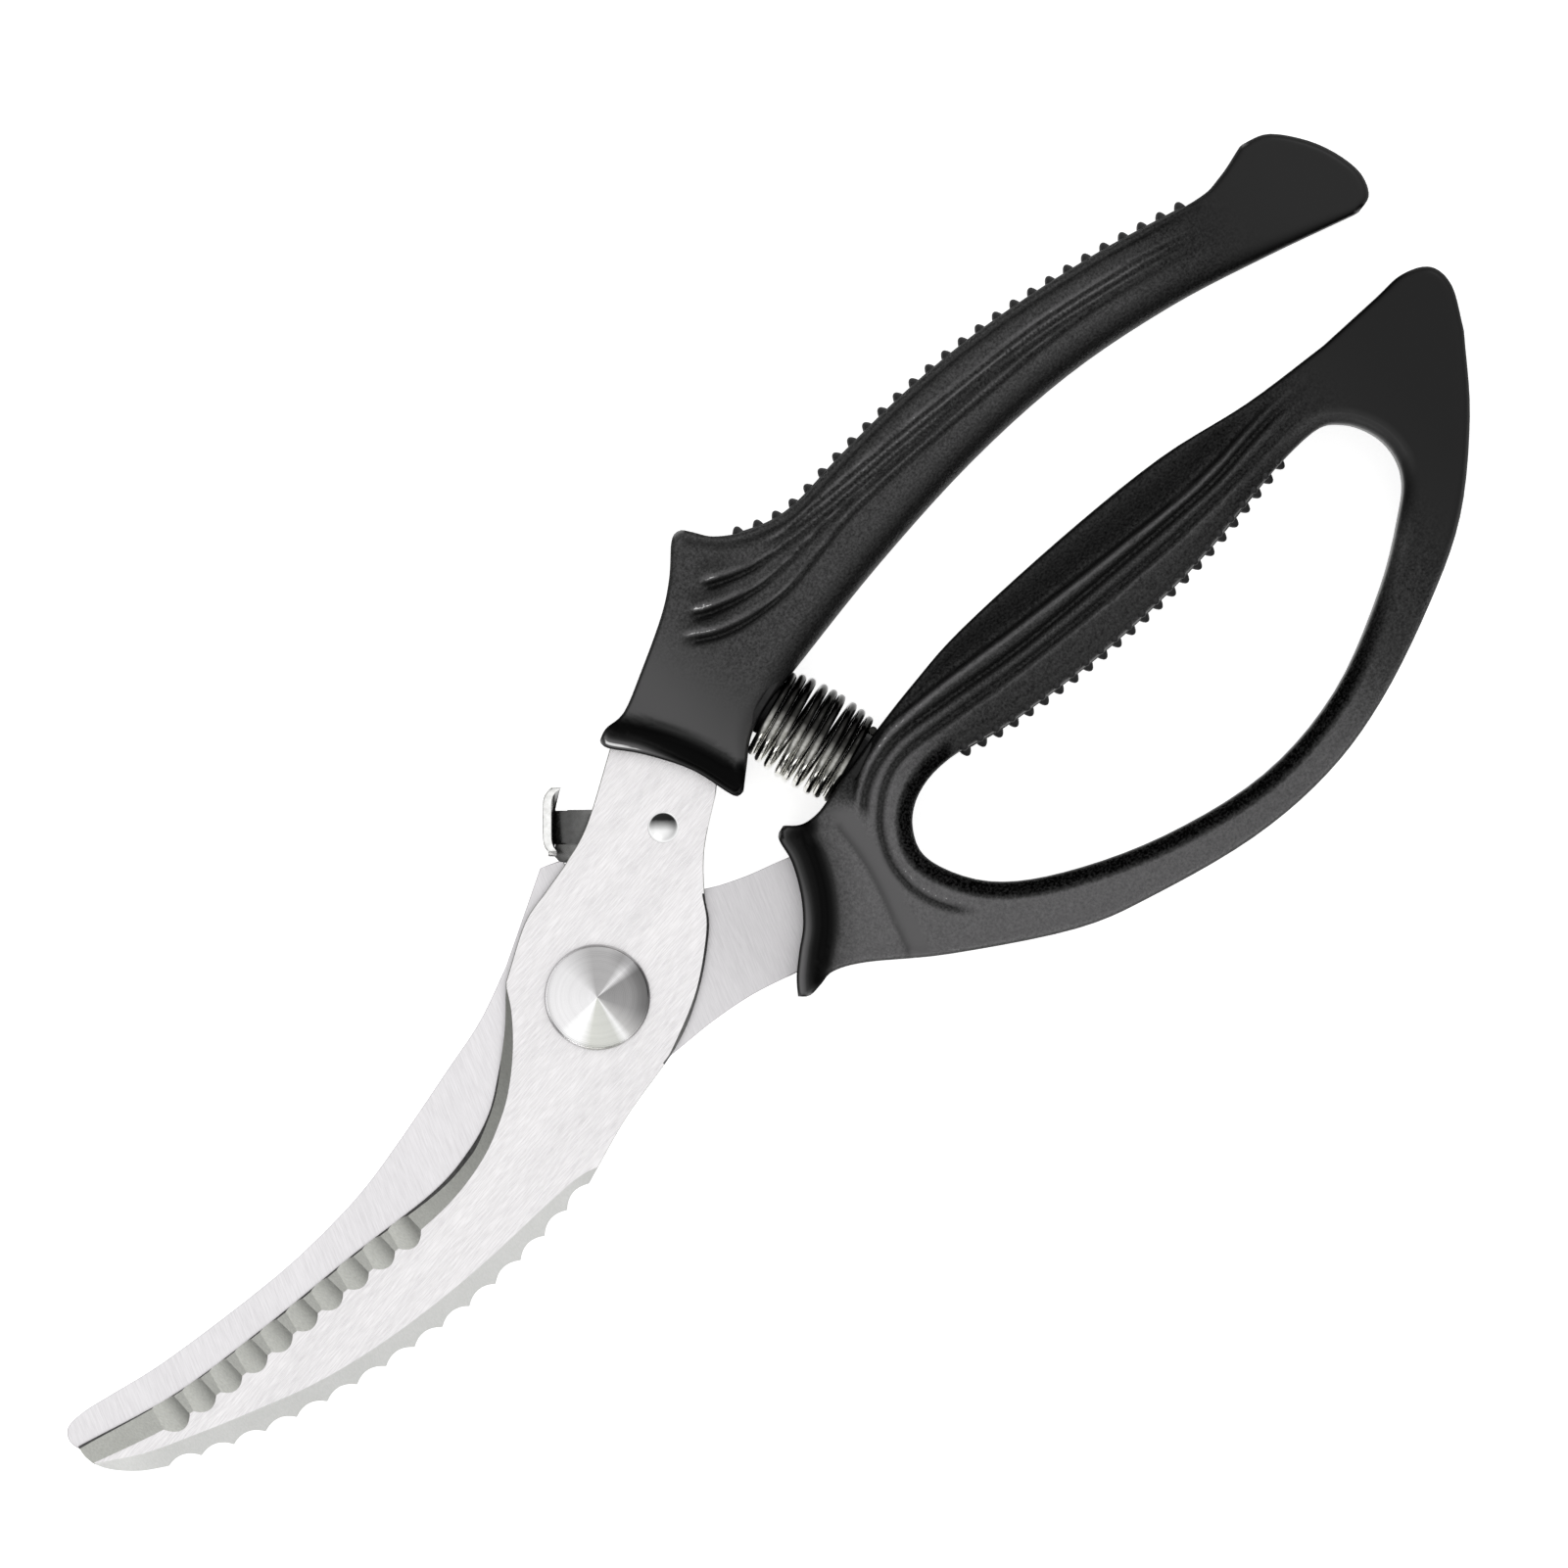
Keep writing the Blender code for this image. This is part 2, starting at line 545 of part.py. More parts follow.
def main():
    frame = new_empty("shears_frame", None)
    upper = new_empty("upper_half_frame", frame)
    lower = new_empty("lower_half_hinge", frame)
    catch = new_empty("latch_hinge", upper, RIVET_AT)

    brushed = new_material("brushed_stainless_steel", (0.72, 0.72, 0.71), 1.0, 0.35)
    turned_steel = new_material("turned_stainless_steel", (0.70, 0.70, 0.69), 1.0, 0.25)
    sheet = new_material("pressed_steel_sheet", (0.62, 0.62, 0.61), 1.0, 0.30)
    plated = new_material("nickel_plated_spring_wire", (0.66, 0.65, 0.63), 1.0, 0.18)
    plastic = new_material("black_moulded_polypropylene", (0.022, 0.022, 0.024), 0.0, 0.42)
    rubber = new_material("black_soft_grip_elastomer", (0.018, 0.018, 0.019), 0.0, 0.60)

    build_upper_blade(upper, brushed)
    build_lower_blade(lower, brushed)
    reach = SPRING_LONG / 2
    upper_seat = spring_frame(-reach)
    lower_seat = spring_frame(reach) @ Matrix.Rotation(pi, 4, "X")
    build_handle("upper_handle", [smooth(UPPER_HANDLE, 3, True)], upper, plastic, upper_blade_outline(),
                 BLADE_IN, list(reversed(smooth(UPPER_GRIP))), upper_seat)
    loop_outlines = [smooth(LOWER_HANDLE, 3, True), smooth(FINGER_LOOP, 4, True)]
    build_handle("lower_handle", loop_outlines, lower, plastic, lower_blade_outline(), -BLADE_OUT,
                 smooth(LOWER_GRIP), lower_seat)
    build_grip("upper_grip_strip", list(reversed(smooth(UPPER_GRIP))), UPPER_TEETH, upper, rubber)
    build_grip("lower_grip_strip", smooth(LOWER_GRIP), LOWER_TEETH, lower, rubber)
    build_spring_cup("upper_spring_cup", upper_seat, upper, sheet)
    build_spring_cup("lower_spring_cup", lower_seat, lower, sheet)
    build_spring(upper, plated)
    build_pivot(upper, turned_steel)
    build_catch(catch, sheet)
    build_latch_rivet(upper, turned_steel)
    pivot = stand_on_base(frame)
    print("pivot at", [round(value, 6) for value in pivot])


clear_scene()
PARTS = new_collection("poultry_shears")
CUTTERS = new_collection("cutters")
main()
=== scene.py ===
"""Poultry shears: ground steel blades, fluted black handles, a coil spring and a thumb catch, in one frame.

Shapes are drawn in millimetres about the blade pivot: +X towards the handles, +Y towards the upper handle,
+Z up. Each finished piece sits at the origin with its place in its mesh.
"""

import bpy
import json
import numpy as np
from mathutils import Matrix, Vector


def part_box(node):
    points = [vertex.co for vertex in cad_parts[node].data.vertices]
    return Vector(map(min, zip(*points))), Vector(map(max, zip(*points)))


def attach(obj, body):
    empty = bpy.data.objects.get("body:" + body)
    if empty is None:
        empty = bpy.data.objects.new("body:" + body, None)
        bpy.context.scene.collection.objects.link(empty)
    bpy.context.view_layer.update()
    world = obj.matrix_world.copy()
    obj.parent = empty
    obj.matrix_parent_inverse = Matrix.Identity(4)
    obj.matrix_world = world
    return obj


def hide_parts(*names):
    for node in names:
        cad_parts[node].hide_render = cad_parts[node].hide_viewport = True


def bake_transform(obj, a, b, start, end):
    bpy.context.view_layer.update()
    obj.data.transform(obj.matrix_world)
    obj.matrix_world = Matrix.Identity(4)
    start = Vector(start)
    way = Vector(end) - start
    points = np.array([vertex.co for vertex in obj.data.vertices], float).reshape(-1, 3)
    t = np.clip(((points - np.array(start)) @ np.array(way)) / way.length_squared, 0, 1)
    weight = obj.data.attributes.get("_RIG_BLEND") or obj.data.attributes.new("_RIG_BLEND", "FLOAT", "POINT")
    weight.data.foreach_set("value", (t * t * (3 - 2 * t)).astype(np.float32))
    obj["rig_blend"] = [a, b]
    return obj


bl_info = {
    "name": "Poultry shears",
    "version": (1, 0, 0),
    "blender": (4, 5, 0),
    "location": "View3D > Sidebar > Shears",
    "description": "Builds sprung poultry shears piece by piece round their packed frame",
    "category": "Add Mesh",
}

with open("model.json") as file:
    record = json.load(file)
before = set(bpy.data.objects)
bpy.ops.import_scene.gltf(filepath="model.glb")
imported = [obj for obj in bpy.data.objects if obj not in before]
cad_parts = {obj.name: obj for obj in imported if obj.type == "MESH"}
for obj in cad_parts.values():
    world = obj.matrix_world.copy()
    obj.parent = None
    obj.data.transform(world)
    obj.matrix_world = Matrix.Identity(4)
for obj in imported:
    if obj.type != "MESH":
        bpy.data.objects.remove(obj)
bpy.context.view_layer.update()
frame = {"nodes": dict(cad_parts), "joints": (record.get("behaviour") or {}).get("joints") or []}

import json
from math import cos, pi, radians, sin, tan, tau

import bmesh
import bpy
import numpy as np
from bpy.props import FloatProperty, FloatVectorProperty, IntProperty, PointerProperty
from mathutils import Matrix, Vector
from mathutils.geometry import delaunay_2d_cdt

MM = 0.001
PIVOT = Vector(frame["joints"][0]["pos_m"])
RIVET = (Vector(frame["joints"][1]["pos_m"]) - PIVOT) / MM
NODES = frame["nodes"]

# ---------------------------------------------------------------- outlines, in mm about the pivot
UPPER_EDGE = [(-8.5, 10.0), (-13, 4.9), (-17.5, 0.9), (-22.5, -2.8), (-28.5, -5.1), (-36, -6.2),
              (-50, -5.7), (-66, -5.5), (-82, -4.6), (-97.3, -1.5)]
UPPER_TIP = [(-97.3, -1.5), (-97.4, -3.3), (-96.9, -5.2), (-95.4, -7.4), (-92.6, -9.9), (-89.2, -11.9)]
UPPER_SPINE = [(-89.2, -11.9), (-79, -15.9), (-68.5, -18.8), (-58.6, -20.6), (-47.5, -21.7),
               (-37.5, -21.9), (-27, -21.1), (-17.9, -19.5)]
UPPER_HEEL = [(-17.9, -19.5), (-7.7, -15.7), (3.9, -12.6), (11.5, -8.6), (18.3, -2.8), (21.1, 1.5),
              (25.2, 6.4), (31.5, 11.4)]
UPPER_TANG = [(31.5, 11.4), (38, 17.4), (45, 20.6), (60, 23.4), (83, 25.9), (86.5, 30.2), (83, 34.2),
              (60, 32.2), (45, 29.6), (33, 27.6), (24.6, 26.2)]
UPPER_NECK = [(24.6, 26.2), (14.8, 19.8), (9.1, 17.5), (3.9, 16.1), (-1.2, 14.6), (-8.5, 10.0)]
HEEL_CORNER = [(1.2, -13.5), (3.9, -12.6), (11.5, -8.6), (18.3, -2.8), (21.1, 1.5)]
EDGE_BEVEL_LINE = [(-6.5, 14.0), (-8.8, 9.6), (-10.8, 6.0), (-14.1, 1.8), (-18.3, -2.2), (-22.2, -4.8),
                   (-27.3, -7.2), (-34, -8.8), (-42, -9.2), (-56, -8.9), (-72, -8.8), (-81, -8.2),
                   (-87, -7.3), (-97, -4.7), (-103, -2.8)]
FLUTE_ENDS = [(-42.5, -10.5), (-52, -10.1), (-61, -10.0), (-72, -9.9), (-84.2, -9.2)]
SPINE_BEVEL_LINE = [(-104, -1.0), (-95.8, -5.5), (-90.3, -8.4), (-83.3, -10.9), (-75.6, -13.4),
                    (-65.8, -16.2), (-56, -17.8), (-45.7, -18.5), (-35.5, -18.5), (-23.9, -17.9),
                    (-17.2, -18.0), (-10, -20.5)]
LOWER_SPINE = [(-7.3, 11.6), (-15, 8.1), (-23.5, 5.6), (-35.2, 2.3), (-44.3, 0.2), (-55.5, -0.9),
               (-66, -0.9), (-80.3, -0.1), (-88.6, 1.1), (-93.5, 1.8), (-96.7, 1.5), (-97.8, -0.4),
               (-97.0, -3.0)]
LOWER_EDGE = [(-97.0, -3.0), (-90, -6.0), (-80, -8.9), (-65, -11.4), (-50, -12.4), (-35, -12.9),
              (-20, -12.9), (-6, -13.0), (4, -13.1), (10.5, -13.2), (17.1, -13.9), (24, -15.5)]
LOWER_TANG = [(24, -15.5), (31, -16.0), (38, -15.6), (44.0, -13.0), (44.8, -9.5), (43.5, -6.0),
              (38, -3.8), (32.4, -1.9), (27.2, -0.4), (22, 1.6)]
LOWER_BEVEL_LINE = [(-103, 1.5), (-97.5, 0.2), (-90, -3.1), (-80, -6.0), (-65, -8.5), (-50, -9.5),
                    (-35, -10.0), (-22, -10.5), (-14, -12.6), (-8, -15.5)]

# The upper handle's border in four runs: ferrule mouth, back with its guard, butt, and belly.
UPPER_MOUTH = [(34.6, 9.0), (33.1, 9.5), (31.0, 15.9), (27.2, 22.0), (23.9, 25.9), (23.4, 27.5)]
UPPER_BACK = [(23.4, 27.5), (25.4, 28.4), (28.8, 28.5), (34.3, 31.3), (41.7, 35.6), (46.0, 39.0),
              (49.6, 42.8), (51.4, 43.2), (52.6, 41.9), (54.8, 39.2), (59.6, 36.6), (66, 35.4),
              (76, 36.6), (90, 37.6), (104.3, 37.3), (121, 35.3), (136.8, 32.1), (142, 32.3),
              (147.4, 33.9)]
UPPER_BUTT = [(147.4, 33.9), (151.5, 32.4), (155.7, 27.0), (157.7, 20.8), (156.7, 16.8), (154.0, 15.8)]
UPPER_BELLY = [(154.0, 15.8), (139.4, 19.6), (124.6, 22.8), (107.6, 24.6), (89.5, 24.0), (70, 21.3),
               (51.6, 17.6), (45, 16.1), (40.6, 14.4), (37.2, 11.4), (34.6, 9.0)]
UPPER_GRIP = [(57.5, 37.5), (62, 35.9), (67, 35.5), (76, 36.6), (90, 37.6), (104.3, 37.3), (121, 35.3),
              (135, 32.5)]
# Its creases: three that end the flutes by the guard, then fine lines.
UPPER_CREASES = [
    [(48.2, 35.2), (49.8, 34.3), (51.7, 33.5), (55.3, 32.4), (58.6, 32.0), (61.1, 31.7), (69.9, 31.5),
     (88.0, 31.5), (105.9, 31.2), (122.3, 29.1), (135.3, 26.9)],
    [(44.1, 33.1), (46.5, 31.7), (50.0, 30.5), (53.9, 29.7), (57.3, 29.5), (61.9, 29.8), (66.7, 30.3),
     (75, 30.7), (90, 30.9), (100, 30.9)],
    [(40.9, 31.1), (43.3, 29.6), (46.2, 28.1), (49.9, 27.1), (54.1, 26.7), (57.8, 26.7), (61.9, 27.4),
     (67.0, 28.4), (73.6, 29.4), (92.3, 30.0), (110.6, 29.9), (122, 28.6), (134.3, 26.4)],
]
UPPER_FINE = [
    [(58.5, 34.0), (62.4, 33.3), (71.7, 33.5), (89.7, 33.5), (107.5, 33.0), (124.2, 30.9), (136, 28.2)],
    [(60, 32.9), (71.7, 32.5), (89.7, 32.5), (107.5, 32.0), (124.2, 29.9), (135.8, 27.5)],
]
UPPER_RIM = [(51.1, 41.0), (54.1, 37.9), (57.1, 36.0), (60.7, 34.8), (66, 34.1), (76.4, 35.3),
             (90, 36.3), (104.0, 36.0), (120.8, 34.0), (136.7, 30.9)]

# The lower handle's border: ferrule mouth, back towards the spring, horn and outer arc; then its hole.
LOWER_MOUTH = [(21.8, -18.2), (23.5, -15.9), (26.2, -13.3), (28.8, -11.0), (31.4, -7.4), (33.4, -3.0),
               (34.1, 0.8), (35.8, 1.7)]
LOWER_BACK = [(35.8, 1.7), (37.8, 0.2), (40.4, -0.1), (43.6, 0.6), (54, 3.4), (63, 5.3), (73, 6.8),
              (92, 7.6), (110, 7.3), (124.5, 5.3), (138, 4.6)]
LOWER_HORN = [(138, 4.6), (148, 5.0), (153, 5.2), (156.8, 3.4), (157.4, -0.6), (154.6, -6.6)]
LOWER_ARC = [(154.6, -6.6), (147.4, -16.5), (137.3, -26.4), (126, -33.1), (112, -39.2), (99.5, -42.2),
             (85.7, -42.4), (70, -39.7), (58.2, -36.2), (42.3, -27.5), (32.5, -20.8), (28.0, -18.7),
             (25.4, -19.0), (23.2, -19.2), (21.8, -18.2)]
FINGER_LOOP = [(129.0, -3.9), (132.9, -5.7), (135.2, -9.2), (135.8, -13.0), (134.6, -16.8),
               (131.2, -20.3), (122, -27), (107.8, -34.0), (92.7, -36.5), (76.3, -34.1), (62, -28.9),
               (53.1, -23.1), (48.6, -15.6), (49.5, -10.6), (53.5, -7.2), (60, -6.2), (70.8, -7.9),
               (88, -8.6), (105, -7.4), (118.4, -4.9)]
LOWER_GRIP = [(62.5, -6.6), (70.8, -7.9), (88, -8.6), (105, -7.4), (118.4, -4.9), (122.5, -4.1)]
LOWER_CREST = [(44.8, -4.5), (46.5, -2.2), (49.3, -0.0), (52.1, 1.2), (56.3, 2.2), (63.6, 2.4),
               (72.3, 2.0), (79.3, 1.6), (93.3, 1.1), (107.6, 0.8), (115.2, 1.2), (121.3, 2.0),
               (127.2, 2.6), (131.6, 2.5)]
LOWER_CREASES = [
    [(44.7, -5.6), (46.9, -2.9), (49.8, -0.9), (53.1, 0.3), (57.1, 0.9), (65.6, 0.4), (77.5, -0.5),
     (92.0, -0.6), (106.5, -0.4), (114.1, -0.1), (121.4, 1.0), (127.3, 1.6), (133, 1.3)],
    [(49.2, -25.5), (46.8, -23.0), (44.9, -19.9), (43.9, -16.4), (44.0, -12.3), (45.4, -8.5),
     (47.4, -5.7), (50.1, -3.4), (53.2, -1.9), (56.9, -1.4), (62.0, -1.7), (75.7, -2.6), (90.0, -2.9),
     (104.7, -2.7), (118.2, -1.7), (128.9, -0.7), (135, -1.6)],
]
LOWER_PANEL = [(41.6, -3.6), (41.3, -9.3), (40.4, -13.9), (39.2, -18.4), (37.6, -24.3)]


# ---------------------------------------------------------------- other measures, in mm
# Radii of the holes in the blades.
PIVOT_HOLE = 3.6
RIVET_HOLE = 1.9
RIM_ROUNDING = 0.12
# The rear blade's arcs about the pivot, as radius, start and end in degrees, and steps.
NECK_NOTCH = (17.5, 14, 63, 24)
EAR = (20.0, 64, 74, 8)
# The least upward part of a face's normal with which it counts as the flat of a blade.
FLAT = 0.985
# Rows of grip teeth: height on the strip, setback from its line, and lift.
GRIP_ROWS = ((1.5, 0.0, 0.0), (-1.5, 0.0, 0.0))
SHOULDER_ROWS = ((7.1, 0.75, 1.0), (-7.1, 0.75, -1.0))
# The coil's middle, and the way its axis runs from the upper handle to the lower.
COIL_MIDDLE = (46.95, 8.7)
COIL_WAY = radians(-72)
# The catch: strip thickness, where its bend starts and how round it is, and the way its lever points.
CATCH_STRIP = 1.3
CATCH_BEND_START = 13.4
CATCH_BEND = 2.4
CATCH_WAY = radians(140)
# The view: turned about the vertical, this wide, and centred on this spot beside the pivot.
VIEW_TURN = radians(-40)
VIEW_WIDTH = 222.2
VIEW_MIDDLE = (39.66, 6.13)
CAMERA_HEIGHT = 4000.0
FLOOR_REACH = 3000.0


# ---------------------------------------------------------------- lines in plan


def smooth(points, steps=5, closed=False):
    """A smooth line through the given points, as an array."""
    knots = [np.array(point, float) for point in points]
    if closed:
        knots = [knots[-1]] + knots + knots[:2]
    else:
        knots = [2 * knots[0] - knots[1]] + knots + [2 * knots[-1] - knots[-2]]
    line = []
    for before, start, end, after in zip(knots, knots[1:], knots[2:], knots[3:]):
        for t in np.arange(steps) / steps:
            bend = 2 * start - 2 * end + (end - before) / 2 + (after - start) / 2
            lift = 3 * (end - start) - (end - before) - (after - start) / 2
            line.append(start + t * ((end - before) / 2 + t * (lift + t * bend)))
    return np.array(line if closed else line + [knots[-2]])


def evenly(line, spacing=None, count=None, closed=False):
    """Points at equal distances along a line."""
    if closed:
        line = np.vstack([line, line[:1]])
    travelled = np.concatenate([[0], np.cumsum(np.linalg.norm(np.diff(line, axis=0), axis=1))])
    count = count or max(2, round(travelled[-1] / spacing))
    at = np.linspace(0, travelled[-1], count + 1)
    points = np.column_stack([np.interp(at, travelled, line[:, i]) for i in range(line.shape[1])])
    return points[:-1] if closed else points


def normals(line, closed=False):
    """The unit normal on the left of a line at each of its points."""
    if closed:
        along = np.roll(line, -1, axis=0) - np.roll(line, 1, axis=0)
    else:
        along = np.gradient(line, axis=0)
    along /= np.linalg.norm(along, axis=1)[:, None]
    return np.column_stack([-along[:, 1], along[:, 0]])


def spans_near(points, line, closed):
    """Batches of points against a line's spans: the rows of points, their places from each span's start, the
    spans, how far along each span they fall, and their squared distances."""
    ends = np.roll(line, -1, axis=0) if closed else line[1:]
    starts = line if closed else line[:-1]
    spans = ends - starts
    lengths = np.maximum(np.einsum("ij,ij->i", spans, spans), 1e-12)
    for low in range(0, len(points), 2000):
        some = points[low:low + 2000, None, :] - starts[None]
        t = np.clip(np.einsum("pij,ij->pi", some, spans) / lengths, 0, 1)
        away = some - t[..., None] * spans[None]
        yield slice(low, low + 2000), some, spans, t, np.einsum("pij,pij->pi", away, away)


def nearest(points, line, closed=False):
    """For each point: its distance to the line, its side (+1 on the left) and how far along it is, 0 to 1."""
    distance, side, along = (np.empty(len(points)) for _ in range(3))
    for rows, some, spans, t, gap in spans_near(points, line, closed):
        at = gap.argmin(axis=1)
        each = np.arange(len(at))
        cross = spans[at, 0] * some[each, at, 1] - spans[at, 1] * some[each, at, 0]
        distance[rows] = np.sqrt(gap[each, at])
        side[rows] = np.where(cross < 0, -1, 1)
        along[rows] = (at + t[each, at]) / len(spans)
    return distance, side, along


def mound(points, runs, half):
    """Heights of a form with a wall along its border and a rounding above, of the radii given for each run."""
    lines = [smooth(run) for run, _ in runs]
    radii = np.concatenate([np.interp(np.linspace(0, 1, len(line)), np.linspace(0, 1, len(steps)), steps)[:-1]
                            for line, (_, steps) in zip(lines, runs)])
    growth = np.roll(radii, -1) - radii
    height = np.empty(len(points))
    for rows, _, _, t, gap in spans_near(points, chain(*lines), True):
        radius = radii + t * growth
        wall = half - np.minimum(radius, 0.93 * half)
        height[rows] = (wall + (half - wall) * rounded(np.sqrt(gap) / radius)).min(axis=1)
    return height


def inside(points, loop):
    """Whether each point lies inside a closed line."""
    x, y = points[:, 0, None], points[:, 1, None]
    ax, ay = loop[:, 0], loop[:, 1]
    bx, by = np.roll(ax, -1), np.roll(ay, -1)
    spans = (ay > y) != (by > y)
    crossing = ax + (y - ay) * (bx - ax) / np.where(by == ay, 1e-9, by - ay)
    return (spans & (x < crossing)).sum(axis=1) % 2 == 1


def chain(*lines):
    """One closed line from lines that each start where the last one ends."""
    return np.vstack([line[:-1] for line in lines])


def scallops(points, depth, steps=8):
    """A hollow arc, cut to the left, between each pair of neighbouring points."""
    line = []
    for start, end in zip(points, points[1:]):
        across = (end - start) / np.linalg.norm(end - start)
        inward = depth * np.array([-across[1], across[0]])
        for t in np.arange(steps) / steps:
            line.append(start + t * (end - start) + 4 * t * (1 - t) * inward)
    return np.array(line + [points[-1]])


# ---------------------------------------------------------------- objects


def in_frame(points):
    """Points in mm about the pivot, as places in the frame."""
    return [PIVOT + Vector((*point, 0.0)[:3]) * MM for point in points]


def new_object(name, mesh):
    """An object of the given data, linked to the scene."""
    obj = bpy.data.objects.new(name, mesh)
    bpy.context.scene.collection.objects.link(obj)
    return obj


def shape(name, points, faces, materials=(), sharp=None):
    """An object from points in mm about the pivot."""
    mesh = bpy.data.meshes.new(name)
    mesh.from_pydata(in_frame(points), [], faces)
    mesh.validate()
    for material in materials:
        mesh.materials.append(material)
    obj = new_object(name, mesh)
    mesh.shade_smooth()
    if sharp:
        mesh.set_sharp_from_angle(angle=radians(sharp))
    return obj


def solid_mesh(obj):
    """The object's evaluated shape as its own plain mesh, with its modifiers gone."""
    bpy.context.view_layer.update()
    graph = bpy.context.evaluated_depsgraph_get()
    mesh = bpy.data.meshes.new_from_object(obj.evaluated_get(graph))
    if obj.type == "MESH":
        obj.modifiers.clear()
        obj.data = mesh
        return obj
    made = new_object(obj.name + "_solid", mesh)
    made.matrix_world = obj.matrix_world
    bpy.data.objects.remove(obj)
    return made


def tidy(obj, angle=25):
    """Merge doubles, turn all faces outwards and settle the object at the origin."""
    obj.data.transform(obj.matrix_world)
    obj.matrix_world = Matrix.Identity(4)
    work = bmesh.new()
    work.from_mesh(obj.data)
    bmesh.ops.remove_doubles(work, verts=work.verts, dist=1e-7)
    bmesh.ops.recalc_face_normals(work, faces=work.faces)
    work.to_mesh(obj.data)
    work.free()
    obj.data.shade_smooth()
    obj.data.set_sharp_from_angle(angle=radians(angle))
    return obj


def painted(obj, name, values):
    """Give each point of an object a value, which its material reads."""
    attribute = obj.data.attributes.new(name, "FLOAT", "POINT")
    attribute.data.foreach_set("value", np.asarray(values, np.float32))


def dress(obj, *materials):
    """Give an object these materials in place of its own."""
    obj.data.materials.clear()
    for material in materials:
        obj.data.materials.append(material)
    return obj


def joined(objects, name):
    """One object from several, by their meshes."""
    work = bmesh.new()
    for obj in objects:
        obj.data.transform(obj.matrix_world)
        work.from_mesh(obj.data)
    mesh = bpy.data.meshes.new(name)
    work.to_mesh(mesh)
    work.free()
    for material in objects[0].data.materials:
        mesh.materials.append(material)
    for obj in objects:
        bpy.data.objects.remove(obj)
    return new_object(name, mesh)


def outline_plate(name, line, low, high, rounding):
    """A flat piece with the given outline and slightly rounded rims."""
    curve = bpy.data.curves.new(name, "CURVE")
    curve.dimensions = "2D"
    curve.fill_mode = "BOTH"
    curve.extrude = ((high - low) / 2 - rounding) * MM
    curve.bevel_depth = rounding * MM
    curve.bevel_resolution = 1
    curve.offset = -rounding * MM
    spline = curve.splines.new("POLY")
    spline.points.add(len(line) - 1)
    corners = np.column_stack([line * MM, np.zeros(len(line)), np.ones(len(line))])
    spline.points.foreach_set("co", corners.ravel())
    spline.use_cyclic_u = True
    obj = new_object(name, curve)
    obj.location = PIVOT + Vector((0, 0, (low + high) / 2 * MM))
    return tidy(solid_mesh(obj))


def quads(rows, wide):
    """Faces between neighbouring rows of points, each row closed on itself."""
    return [(i * wide + j, i * wide + (j + 1) % wide, (i + 1) * wide + (j + 1) % wide, (i + 1) * wide + j)
            for i in range(rows - 1) for j in range(wide)]


def swept(name, line, profile, height=0.0, angle=25):
    """A bar of one profile along a line. The profile is across to the line's right, and up."""
    points, wide = [], len(profile)
    for at, right in zip(line, -normals(line)):
        points += [(*(at + across * right), height + up) for across, up in profile]
    ends = [tuple(range(wide)), tuple(range((len(line) - 1) * wide, len(line) * wide))]
    return tidy(shape(name, points, quads(len(line), wide) + ends), angle)


def turned(name, profile, centre, steps=96):
    """A solid of revolution about the vertical through centre, from (radius, height) points in mm."""
    points, faces, rows = [], [], []
    for radius, height in profile:
        count = 1 if radius == 0 else steps
        rows.append([len(points) + (i if count > 1 else 0) for i in range(steps)])
        points += [(centre[0] + radius * cos(turn), centre[1] + radius * sin(turn), height)
                   for turn in (tau * i / steps for i in range(count))]
    for upper, lower in zip(rows, rows[1:]):
        for i in range(steps):
            k = (i + 1) % steps
            ring = (upper[i], lower[i], lower[k], upper[k])
            faces.append(tuple(dict.fromkeys(ring)))
    return tidy(shape(name, points, faces), 30)


def boolean(obj, others, operation="DIFFERENCE"):
    """Cut other objects from this one, or join them to it, and remove them."""
    for other in others:
        modifier = obj.modifiers.new(other.name, "BOOLEAN")
        modifier.operation = operation
        modifier.solver = "EXACT"
        modifier.object = other
    solid_mesh(obj)
    for other in others:
        bpy.data.objects.remove(other)
    return obj


# ---------------------------------------------------------------- node trees


def connect(node, inputs):
    """Give a node's inputs their values or links. A node stands for its first output."""
    for socket, value in inputs.items():
        if isinstance(value, bpy.types.Node):
            value = value.outputs[0]
        if isinstance(value, bpy.types.NodeSocket):
            node.id_data.links.new(value, node.inputs[socket])
        else:
            node.inputs[socket].default_value = value


def add(tree, kind, inputs=None, **settings):
    """Add one node with its settings and inputs."""
    made = tree.nodes.new(kind)
    for name, value in settings.items():
        setattr(made, name, value)
    connect(made, inputs or {})
    return made


def linear(code):
    """An sRGB hex colour as linear RGBA."""
    channels = [int(code[i:i + 2], 16) / 255 for i in (1, 3, 5)]
    return (*(c / 12.92 if c <= 0.04045 else ((c + 0.055) / 1.055) ** 2.4 for c in channels), 1.0)


def new_material(name, colour, metallic, roughness, **sockets):
    """A material with its tree and its shader."""
    material = bpy.data.materials.new(name)
    material.use_nodes = True
    shader = material.node_tree.nodes["Principled BSDF"]
    connect(shader, {"Base Color": colour, "Metallic": metallic, "Roughness": roughness,
                     **{socket.replace("_", " "): value for socket, value in sockets.items()}})
    return material, material.node_tree, shader


def spread(tree, value, colours, stops=(0.0, 1.0)):
    """A colour ramp driven by a value. Its colours are hex codes or linear."""
    ramp = add(tree, "ShaderNodeValToRGB", {0: value})
    while len(ramp.color_ramp.elements) < len(stops):
        ramp.color_ramp.elements.new(0.5)
    for element, stop, colour in zip(ramp.color_ramp.elements, stops, colours):
        element.position, element.color = stop, linear(colour) if isinstance(colour, str) else colour
    return ramp


